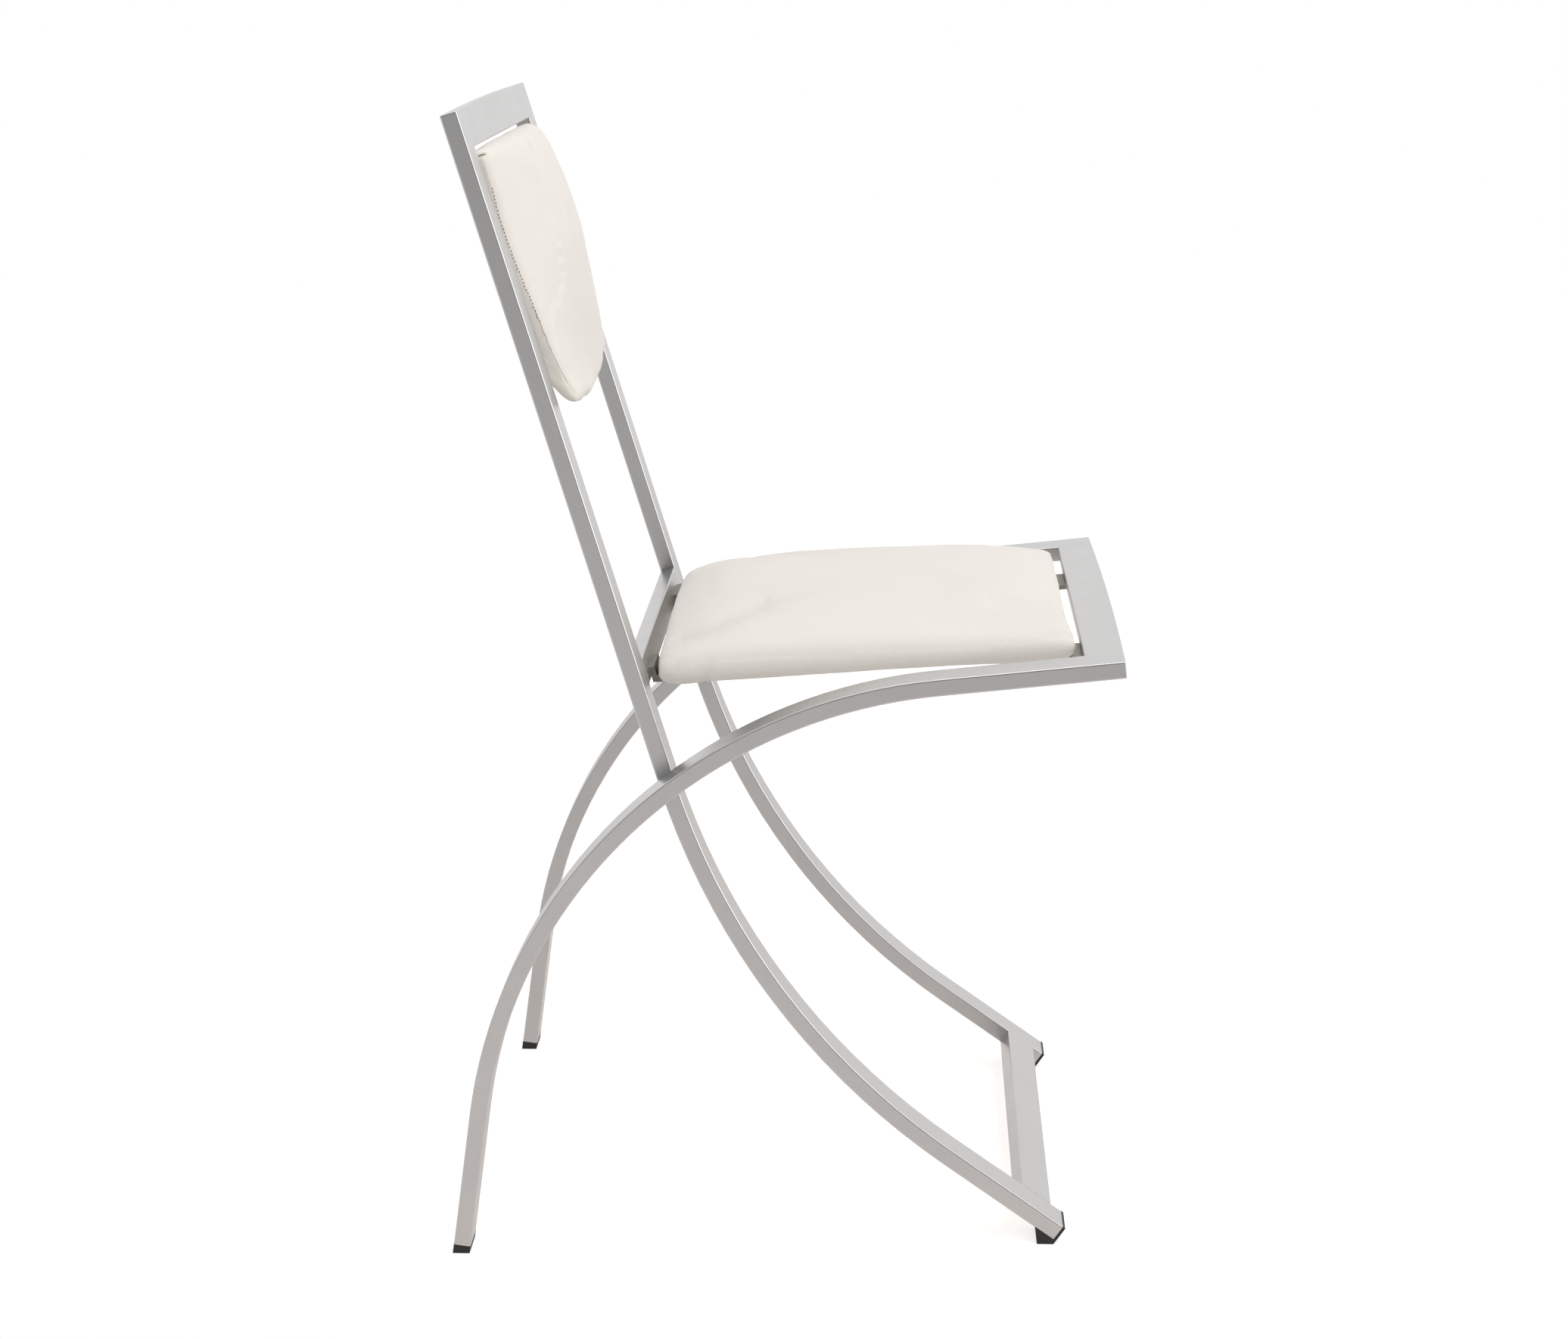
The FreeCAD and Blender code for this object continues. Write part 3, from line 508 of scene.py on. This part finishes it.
def strap_steel():
    """Dark rolled steel with brushed streaks and edges rubbed bright."""
    made, tree, surface, place = new_material("strap_steel")
    stretched = add(tree, "ShaderNodeMapping", {"Vector": place, "Scale": STRAP_STRETCH}).outputs["Vector"]
    streak = noise_of(tree, stretched, *STRAP_STREAK)
    stain = ramp(tree, noise_of(tree, place, *STRAP_CLOUD), STRAP_STAINS)
    colour = mix_colour(tree, STRAP_STAIN_SHARE, ramp(tree, streak, STRAP_COLOURS), stain)
    pale_edge = level(tree, edge_mask(tree, *STRAP_EDGE), WHOLE_SPAN, STRAP_WORN_SHARES)
    fill_inputs(tree, surface, {
        "Base Color": mix_colour(tree, pale_edge, colour, STRAP_WORN),
        "Roughness": level(tree, streak, NOISE_SPAN, STRAP_ROUGHNESS),
        "Normal": bump(tree, streak, STRAP_BUMP),
        "Metallic": STRAP_METALLIC,
    })
    return made


def fastener_zinc():
    """Bright zinc plating with crystalline mottling."""
    made, tree, surface, place = new_material("fastener_zinc")
    spangle = add(tree, "ShaderNodeTexVoronoi", {"Vector": place, "Scale": ZINC_SPANGLE_SCALE})
    shade = add(tree, "ShaderNodeRGBToBW", {"Color": spangle.outputs["Color"]}).outputs["Val"]
    fill_inputs(tree, surface, {
        "Base Color": ramp(tree, shade, ZINC_COLOURS),
        "Roughness": level(tree, shade, WHOLE_SPAN, ZINC_ROUGHNESS),
        "Normal": bump(tree, shade, ZINC_BUMP),
        "Metallic": ZINC_METALLIC,
    })
    return made


def board_lining():
    """Dark woven lining stretched over the board."""
    made, tree, surface, place = new_material("board_lining")
    weft, warp = [
        wave_of(tree, place, LINING_WEAVE_SCALE, LINING_WEAVE_DISTORTION, direction) for direction in "XY"
    ]
    weave = math_of(tree, "MULTIPLY", weft, warp)
    fuzz = noise_of(tree, place, *LINING_FUZZ)
    cloth = ramp(tree, weave, LINING_COLOURS)
    fill_inputs(tree, surface, {
        "Base Color": mix_colour(tree, LINING_FADED_SHARE, cloth, ramp(tree, fuzz, LINING_FADED)),
        "Roughness": level(tree, fuzz, NOISE_SPAN, LINING_ROUGHNESS),
        "Normal": bump(tree, weave, LINING_BUMP),
        "Sheen Weight": LINING_SHEEN,
    })
    return made


def dress_nodes():
    """Gives every CAD node the material of its record slot."""
    finishes = {
        "frame_metal": frame_paint(),
        "pad_leather": leather_material,
        "board": board_lining(),
        "foot_plastic": black_plastic(),
        "bush_plastic": nylon(),
        "strap_steel": strap_steel(),
        "fastener_steel": fastener_zinc(),
    }
    for part in frame["record"]["subparts"]:
        mesh = nodes[part["node"]].data
        mesh.materials.clear()
        mesh.materials.append(finishes[part["material_slot"]])


class Line:
    """Straight in the YZ plane that a pad lies along: s runs along it and n stands off it."""

    def __init__(self, start, angle):
        turn = math.radians(angle)
        self.start = np.array(start)
        self.along = np.array((0, math.cos(turn), math.sin(turn)))
        self.lift = np.array((0, -math.sin(turn), math.cos(turn)))

    def local(self, points):
        """Points in the row frame as (x, s, n)."""
        offset = points - self.start
        return np.column_stack((points[:, 0], offset @ self.along, offset @ self.lift))

    def world(self, points):
        """Points given as (x, s, n) in the row frame."""
        placed = self.start + np.outer(points[:, 1], self.along) + np.outer(points[:, 2], self.lift)
        placed[:, 0] += points[:, 0]
        return placed


seat_line = Line(SEAT_START, SEAT_ANGLE)
post_line = Line(POST_START, POST_ANGLE)


def seat_points(path, side):
    """Places on the seat pad in the row frame, as given for the right or mirrored to the left."""
    return seat_line.world(np.array(path) * (side, 1, 1))


def back_points(path, side):
    """Places on the back pad in the row frame, as given for the right or mirrored to the left."""
    return post_line.world(np.array(path) * (side, 1, -1))


def vectors(mesh, kind):
    flat = np.zeros(len(mesh.vertices) * 3)
    mesh.vertices.foreach_get(kind, flat)
    return flat.reshape(-1, 3)


def coordinates(mesh):
    return vectors(mesh, "co")


def normals(mesh):
    return vectors(mesh, "normal")


def set_coordinates(mesh, points):
    mesh.vertices.foreach_set("co", points.astype(np.float32).ravel())
    mesh.update()


def set_values(mesh, name, values):
    """Keeps one number per point with a mesh."""
    kept = mesh.attributes.new(name, "FLOAT", "POINT")
    kept.data.foreach_set("value", values.astype(np.float32))


def shade_smooth(mesh):
    mesh.polygons.foreach_set("use_smooth", [True] * len(mesh.polygons))


def new_piece(name, mesh):
    made = bpy.data.objects.new(name, mesh)
    bpy.context.scene.collection.objects.link(made)
    return made


def applied(piece):
    """Replaces a piece's mesh by the result of its modifiers."""
    graph = bpy.context.evaluated_depsgraph_get()
    result = bpy.data.meshes.new_from_object(piece.evaluated_get(graph))
    piece.modifiers.clear()
    piece.data = result


def remeshed_copy(node, name, voxel):
    """A pad's solid as a new mesh of even quads."""
    piece = new_piece(name, nodes[node].data.copy())
    remesh = piece.modifiers.new("even", "REMESH")
    remesh.mode = "VOXEL"
    remesh.voxel_size = voxel
    applied(piece)
    return piece


def swell(piece, held, shrink, limit):
    """Shrinks a pad a little, blows it up again as cloth except where it is held, and keeps the rise."""
    mesh = piece.data
    full = coordinates(mesh)
    outward = normals(mesh)
    free = ~held
    set_coordinates(mesh, full - outward * (shrink * free)[:, None])
    pins = piece.vertex_groups.new(name="held")
    pins.add([int(i) for i in np.flatnonzero(held)], 1.0, "REPLACE")
    settings = piece.modifiers.new("cloth", "CLOTH").settings
    settings.use_pressure = True
    settings.uniform_pressure_force = CLOTH_PRESSURE
    settings.vertex_group_mass = "held"
    settings.effector_weights.gravity = 0
    settings.quality = CLOTH_QUALITY
    settings.tension_stiffness = CLOTH_STIFFNESS
    settings.compression_stiffness = CLOTH_STIFFNESS
    settings.bending_stiffness = CLOTH_BENDING
    scene = bpy.context.scene
    for step in range(1, CLOTH_FRAMES + 1):
        scene.frame_set(step)
    graph = bpy.context.evaluated_depsgraph_get()
    blown = coordinates(piece.evaluated_get(graph).data)
    scene.frame_set(1)
    piece.modifiers.clear()
    piece.vertex_groups.clear()
    rise = np.einsum("ij,ij->i", blown - full, outward)
    set_coordinates(mesh, full)
    set_values(mesh, "swell", np.clip(rise, -SINK_LIMIT, limit) * free)


def smoothed(piece, free, rounds, push):
    """Evens out short wrinkles, without shrinking the pad if each pull is followed by a push."""
    mesh = piece.data
    pairs = np.zeros(len(mesh.edges) * 2, dtype=np.int64)
    mesh.edges.foreach_get("vertices", pairs)
    here = np.concatenate((pairs[0::2], pairs[1::2]))
    there = np.concatenate((pairs[1::2], pairs[0::2]))
    count = np.bincount(here)
    points = coordinates(mesh)
    for turn in range(rounds):
        for weight in (SMOOTH_PULL, -push):
            mean = np.column_stack([np.bincount(here, points[there, axis]) for axis in range(3)])
            points = points + (mean / count[:, None] - points) * (weight * free)[:, None]
    set_coordinates(mesh, points)


def subdivided(piece):
    smooth = piece.modifiers.new("smooth", "SUBSURF")
    smooth.levels = 1
    smooth.render_levels = 1
    applied(piece)
    shade_smooth(piece.data)


def laid_on(piece, points):
    """Nearest places on a piece's surface, and the surface's normals there."""
    surface = BVHTree.FromObject(piece, bpy.context.evaluated_depsgraph_get())
    found = [surface.find_nearest(Vector(point)) for point in points]
    return np.array([hit[0] for hit in found]), np.array([hit[1] for hit in found])


def snapped(piece, node):
    """Lays a pad's points back on the surface of its solid and lets them stand off it as the cloth did."""
    mesh = piece.data
    points = coordinates(mesh)
    places, outward = laid_on(nodes[node], points)
    facing = np.einsum("ij,ij->i", normals(mesh), outward) > SNAP_FACING
    points[facing] = places[facing]
    set_coordinates(mesh, points)
    if "swell" in mesh.attributes:
        rise = np.zeros(len(mesh.vertices))
        mesh.attributes["swell"].data.foreach_get("value", rise)
        set_coordinates(mesh, points + normals(mesh) * rise[:, None])
        mesh.attributes.remove(mesh.attributes["swell"])


def even_points(path, step):
    """Points at even steps along a bent line."""
    runs = np.linalg.norm(np.diff(path, axis=0), axis=1)
    travelled = np.concatenate(((0,), np.cumsum(runs)))
    stops = np.linspace(0, travelled[-1], max(2, round(travelled[-1] / step) + 1))
    return np.column_stack([np.interp(stops, travelled, path[:, axis]) for axis in range(3)])


def off_path(points, path):
    """Distance of each point from a line of close points, and how far along the line that is."""
    nearest = np.full(len(points), np.inf)
    share = np.zeros(len(points))
    for index, stop in enumerate(path):
        gap = np.linalg.norm(points - stop, axis=1)
        closer = gap < nearest
        nearest[closer] = gap[closer]
        share[closer] = index / (len(path) - 1)
    return nearest, share


def pressed(piece, crease_shade, path, press):
    """Presses a soft valley along a line on a pad, or raises it, and notes the painted shade that darkens
    the leather along it.
    """
    mesh = piece.data
    points = coordinates(mesh)
    line = laid_on(piece, even_points(path, LINE_STEP))[0]
    gap, share = off_path(points, line)
    start, end = press.ends
    strength = np.exp(-(gap / press.width) ** 2) * (start + (end - start) * share)
    set_coordinates(mesh, points - normals(mesh) * (press.depth * strength)[:, None])
    np.maximum(crease_shade, press.shade * strength, out=crease_shade)


def bulged(piece, place, bulge):
    """Raises a soft bump on a pad around one place."""
    mesh = piece.data
    points = coordinates(mesh)
    gap = np.linalg.norm(points - place, axis=1)
    rise = bulge.height * np.exp(-(gap / bulge.width) ** 2)
    set_coordinates(mesh, points + normals(mesh) * rise[:, None])


def waved(piece, height, scale):
    """Slight unevenness of leather over foam."""
    mesh = piece.data
    points = coordinates(mesh)
    rise = np.array([noise.noise(Vector(point) * scale) for point in points])
    set_coordinates(mesh, points + normals(mesh) * (height * rise)[:, None])


def finished_pad(piece, crease_shade, body, node):
    """Dresses a pad in leather and lets it stand for its CAD solid."""
    set_values(piece.data, "crease_shade", np.clip(crease_shade, 0, 1))
    piece.data.materials.clear()
    piece.data.materials.append(leather_material)
    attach(piece, body)
    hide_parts(node)


def drawn_in(piece):
    """Narrows the seat pad a little between its front and its rear, where the leather pulls."""
    local = seat_line.local(coordinates(piece.data))
    middle = np.clip(1 - ((local[:, 1] - SEAT_MIDDLE) / SEAT_HALF_DEPTH) ** 2, 0, 1)
    local[:, 0] *= 1 - SEAT_DRAW_IN * middle / SEAT_HALF
    set_coordinates(piece.data, seat_line.world(local))


def seat_pad():
    """Padded seat with a soft valley at its rear corners and folds where the leather turns under."""
    piece = remeshed_copy("seat_cushion", "seat_pad", SEAT_VOXEL)
    free = seat_line.local(coordinates(piece.data))[:, 2] > SEAT_HELD_BELOW
    swell(piece, ~free, SEAT_SHRINK, SEAT_SWELL_LIMIT)
    smoothed(piece, free, SMOOTH_ROUNDS, SMOOTH_PUSH)
    subdivided(piece)
    snapped(piece, "seat_cushion")
    drawn_in(piece)
    crease_shade = np.zeros(len(piece.data.vertices))
    waved(piece, SEAT_WAVE, SEAT_WAVE_SCALE)
    # The valley and folds also carry painted shade, at the strengths given in their presses
    for side in (RIGHT, LEFT):
        pressed(piece, crease_shade, seat_points(SEAT_VALLEY, side), SEAT_VALLEY_PRESS)
        for bulge in (SEAT_EAR, SEAT_LOBE):
            bulged(piece, seat_points([bulge.place], side), bulge)
        pressed(piece, crease_shade, seat_points(SEAT_BELLY, side), SEAT_BELLY_PRESS)
        for fold in SEAT_FOLDS:
            pressed(piece, crease_shade, seat_points(fold, side), SEAT_FOLD_PRESS)
    bulged(piece, seat_points([SEAT_CORNER.place], RIGHT), SEAT_CORNER)
    # Painted shade on the lowest band of the seat pad, where it tucks under
    local = seat_line.local(coordinates(piece.data))
    lowest = np.interp(local[:, 1], SEAT_ENDS, SEAT_UNDERSIDE)
    tuck = np.clip(1 - (local[:, 2] - lowest) / SEAT_TUCK_HEIGHT, 0, 1)
    finished_pad(piece, np.maximum(crease_shade, SEAT_TUCK_SHADE * tuck), "seat", "seat_cushion")


def rounded_low(piece):
    """Rounds the back pad's lower end, where the leather is drawn around the foam, and keeps its length."""
    start, end = BACK_LOW_SPAN
    low = np.clip((post_line.local(coordinates(piece.data))[:, 1] - start) / (end - start), 0, 1)
    smoothed(piece, low, BACK_LOW_ROUNDS, 0.0)
    local = post_line.local(coordinates(piece.data))
    local[:, 1] += BACK_LOW_DROP * low
    set_coordinates(piece.data, post_line.world(local))


def hung_askew(piece):
    """Lets the back pad's lower edge hang a little forward on the sitter's right and back on the left."""
    local = post_line.local(coordinates(piece.data))
    down = (local[:, 1] - BACK_TOP) / BACK_DEPTH
    hang = np.clip((down - BACK_ASKEW_FROM) / (1 - BACK_ASKEW_FROM), 0, 1) ** BACK_ASKEW_POWER
    in_front = np.clip((-local[:, 2] - BACK_HELD_BELOW) / BACK_HELD_BELOW, 0, 1)
    below = np.clip((local[:, 1] - BACK_BOARD_END) / BACK_HELD_BELOW, 0, 1)
    local[:, 2] += BACK_ASKEW * hang * local[:, 0] / BACK_HALF * np.maximum(in_front, below)
    set_coordinates(piece.data, post_line.world(local))


def rings_mesh(name, chains):
    """Closed tubes through rings of points, one tube for each chain of rings."""
    points = []
    faces = []
    for rings in chains:
        base = len(points)
        around = len(rings[0])
        for ring in rings:
            points.extend(tuple(point) for point in ring)
        for step in range(len(rings) - 1):
            low = base + step * around
            for turn in range(around):
                after = (turn + 1) % around
                faces.append((low + turn, low + around + turn, low + around + after, low + after))
        last = base + (len(rings) - 1) * around
        faces.append(tuple(base + turn for turn in range(around)))
        faces.append(tuple(last + turn for turn in reversed(range(around))))
    mesh = bpy.data.meshes.new(name)
    mesh.from_pydata(points, [], faces)
    shade_smooth(mesh)
    return mesh


def ring(centre, side, up, radius):
    """Points around a thread."""
    turns = [math.tau * step / THREAD_SIDES for step in range(THREAD_SIDES)]
    return [centre + side * (radius * math.cos(turn)) + up * (radius * math.sin(turn)) for turn in turns]


def seam_frames(line, out):
    """Direction and side vectors along a seam."""
    ahead = np.gradient(line, axis=0)
    ahead /= np.linalg.norm(ahead, axis=1)[:, None]
    side = np.cross(ahead, out)
    side /= np.linalg.norm(side, axis=1)[:, None]
    return ahead, side


def gap_shade_tube(line, out, radius):
    """Painted shade in the dark gap between sewn edges, as one thin dark tube sunk in the groove, drawn to
    a point at its ends.
    """
    side = seam_frames(line, out)[1]
    rings = []
    for index, share in enumerate(np.linspace(0, 1, len(line))):
        from_end = min(share, 1 - share)
        thick = radius * min(1, GAP_END_SHARE + GAP_TAPER * from_end)
        rings.append(ring(line[index] - out[index] * GAP_SINK, side[index], out[index], thick))
    return rings


def stitch(middle, ahead, side, out):
    """One stitch: a short thread that dips into the leather at both ends."""
    rings = []
    for reach in np.linspace(-1, 1, STITCH_RINGS):
        dip = STITCH_RADIUS * (STITCH_STAND - STITCH_DIP * reach ** 2)
        thick = STITCH_RADIUS * math.sqrt(1 - STITCH_TAPER * reach ** 2)
        rings.append(ring(middle + ahead * (reach * STITCH_LENGTH / 2) + out * dip, side, out, thick))
    return rings


def stitched(piece, seam):
    """Stitches along the part of a seam that is sewn through."""
    line, out = laid_on(piece, even_points(seam, STITCH_PITCH))
    ahead, side = seam_frames(line, out)
    down = post_line.local(line)[:, 1]
    start, end = STITCH_SPAN
    sewn = np.flatnonzero((down > start) & (down < end))
    return [stitch(line[index], ahead[index], side[index], out[index]) for index in sewn]


def back_pad():
    """Padded back with a rounded lower end, and a sewn seam and a small slit at each side."""
    piece = remeshed_copy("back_cushion", "back_pad", BACK_VOXEL)
    free = -post_line.local(coordinates(piece.data))[:, 2] > BACK_HELD_BELOW
    swell(piece, ~free, BACK_SHRINK, BACK_SWELL_LIMIT)
    smoothed(piece, free, SMOOTH_ROUNDS, SMOOTH_PUSH)
    subdivided(piece)
    snapped(piece, "back_cushion")
    crease_shade = np.zeros(len(piece.data.vertices))
    waved(piece, BACK_WAVE, BACK_WAVE_SCALE)
    pressed(piece, crease_shade, back_points(BACK_FRONT_HEM, RIGHT), BACK_FRONT_HEM_PRESS)
    pressed(piece, crease_shade, back_points(BACK_REAR_HEM, RIGHT), BACK_REAR_HEM_PRESS)
    rounded_low(piece)
    gap_shades = []
    stitches = []
    for side in (RIGHT, LEFT):
        seam = back_points(BACK_SEAM, side)
        slit = back_points(BACK_SLIT, side)
        # The seam, its roll and the slit also carry painted shade, at the strengths given in their presses
        pressed(piece, crease_shade, seam, SEAM_ROLL_PRESS)
        pressed(piece, crease_shade, seam, SEAM_PRESS)
        pressed(piece, crease_shade, slit, SLIT_PRESS)
        # Thin dark tubes as painted shade in the seam's open lower end and in the slit
        line, out = laid_on(piece, even_points(seam, LINE_STEP))
        open_end = post_line.local(line)[:, 1] > SEAM_GAP_FROM
        gap_shades.append(gap_shade_tube(line[open_end], out[open_end], SEAM_GAP_RADIUS))
        line, out = laid_on(piece, even_points(slit, LINE_STEP))
        gap_shades.append(gap_shade_tube(line, out, SLIT_GAP_RADIUS))
        stitches.extend(stitched(piece, seam))
    # These folds carry faint painted shade as well
    for fold in BACK_CREASES:
        pressed(piece, crease_shade, back_points(fold, RIGHT), BACK_CREASE_PRESS)
    hung_askew(piece)
    finished_pad(piece, crease_shade, "back_frame", "back_cushion")
    for name, chains in (("back_seam_gap_shade", gap_shades), ("back_stitches", stitches)):
        sewn = new_piece(name, rings_mesh(name, chains))
        hung_askew(sewn)
        sewn.data.materials.append(thread_and_gap_shade_material)
        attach(sewn, "back_frame")


def backdrop_rays(tree):
    """Rays that show the backdrop: those from the camera, and those mirrored or let through."""
    path = add(tree, "ShaderNodeLightPath").outputs
    mirrored = math_of(tree, "MAXIMUM", path["Is Glossy Ray"], path["Is Transmission Ray"])
    return path["Is Camera Ray"], mirrored


def floor():
    """White floor that ends a little way out from the chair's near side."""
    mesh = bpy.data.meshes.new("floor")
    corners = [(x, y, 0) for y in (-FLOOR_HALF, FLOOR_HALF) for x in (-FLOOR_NEAR, FLOOR_HALF)]
    mesh.from_pydata(corners, [], [(0, 1, 3, 2)])
    made, tree, surface, place = new_material("floor_white")
    direct, mirrored = backdrop_rays(tree)
    across = add(tree, "ShaderNodeSeparateXYZ", {"Vector": place}).outputs["X"]
    close = level(tree, across, (0.0, FLOOR_MIRRORED_TO), (1.0, 0.0))
    warm = math_of(tree, "MULTIPLY", close, mirrored)
    glow = level(tree, direct, WHOLE_SPAN, (0.0, FLOOR_GLOW))
    sheen = level(tree, mirrored, WHOLE_SPAN, (0.0, FLOOR_SHEEN))
    fill_inputs(tree, surface, {
        "Base Color": FLOOR_COLOUR,
        "Roughness": FLOOR_ROUGHNESS,
        "Specular IOR Level": 0.0,
        "Emission Color": mix_colour(tree, warm, FLOOR_WARMTH, FLOOR_MIRRORED),
        "Emission Strength": math_of(tree, "MAXIMUM", glow, sheen),
    })
    mesh.materials.append(made)
    new_piece("floor", mesh)


def studio():
    """White backdrop, even ambient light, a near end that darkens upwards, and a bright front."""
    world = bpy.data.worlds.new("studio")
    bpy.context.scene.world = world
    world.use_nodes = True
    tree = world.node_tree
    ambient = tree.nodes["Background"]
    fill_inputs(tree, ambient, {"Color": WHITE, "Strength": AMBIENT})
    way = add(tree, "ShaderNodeTexCoord").outputs["Generated"]
    split = add(tree, "ShaderNodeSeparateXYZ", {"Vector": way}).outputs
    near = level(tree, split["X"], NEAR_SPAN, (1.0, 0.0))
    near_end = ramp(tree, level(tree, split["Z"], NEAR_HEIGHTS, WHOLE_SPAN), NEAR_COLOURS)
    side = level(tree, split["Y"], NEAR_SIDES, NEAR_SIDE_TONES)
    toned = add(tree, "ShaderNodeVectorMath", {0: near_end, "Scale": side}, operation="SCALE")
    shade = mix_colour(tree, near, WHITE, toned.outputs[0])
    front = level(tree, split["Y"], FRONT_SPAN, (1.0, FRONT_GLOW))
    direct, mirrored = backdrop_rays(tree)
    backdrop = add(tree, "ShaderNodeBackground", {
        "Color": mix_colour(tree, direct, shade, WHITE),
        "Strength": mix_colour(tree, direct, front, WHITE),
    })
    both = add(tree, "ShaderNodeMixShader", {
        0: math_of(tree, "MAXIMUM", direct, mirrored),
        1: ambient.outputs["Background"],
        2: backdrop.outputs["Background"],
    })
    tree.links.new(both.outputs["Shader"], tree.nodes["World Output"].inputs["Surface"])


def soft_box(name, place, aim, side, power, mirrored):
    """Square area light turned to its aim."""
    lamp = bpy.data.lights.new(name, "AREA")
    lamp.shape = "SQUARE"
    lamp.size = side
    lamp.energy = power
    made = new_piece(name, lamp)
    made.location = place
    made.visible_glossy = mirrored
    made.rotation_mode = "QUATERNION"
    made.rotation_quaternion = (Vector(aim) - Vector(place)).to_track_quat("-Z", "Y")


def camera():
    """The photograph's camera, with the lens shift that places the chair in the picture."""
    yaw = math.radians(CAMERA_YAW)
    pitch = math.radians(CAMERA_PITCH)
    ahead = Vector((math.cos(pitch) * math.cos(yaw), math.cos(pitch) * math.sin(yaw), -math.sin(pitch)))
    right = Vector((math.sin(yaw), -math.cos(yaw), 0))
    up = right.cross(ahead)
    data = bpy.data.cameras.new("photo_camera")
    data.lens = CAMERA_LENS
    data.sensor_width = CAMERA_SENSOR
    data.shift_y = CAMERA_SHIFT_Y
    made = new_piece("photo_camera", data)
    turn = Matrix((right, up, -ahead)).transposed().to_4x4()
    made.matrix_world = Matrix.Translation(CAMERA_PLACE) @ turn
    bpy.context.scene.camera = made


leather_material = leather()
thread_and_gap_shade_material = thread()
dress_nodes()
seat_pad()
back_pad()
floor()
studio()
for box in SOFT_BOXES:
    soft_box(*box)
camera()

bpy.context.scene.view_settings.view_transform = "Standard"
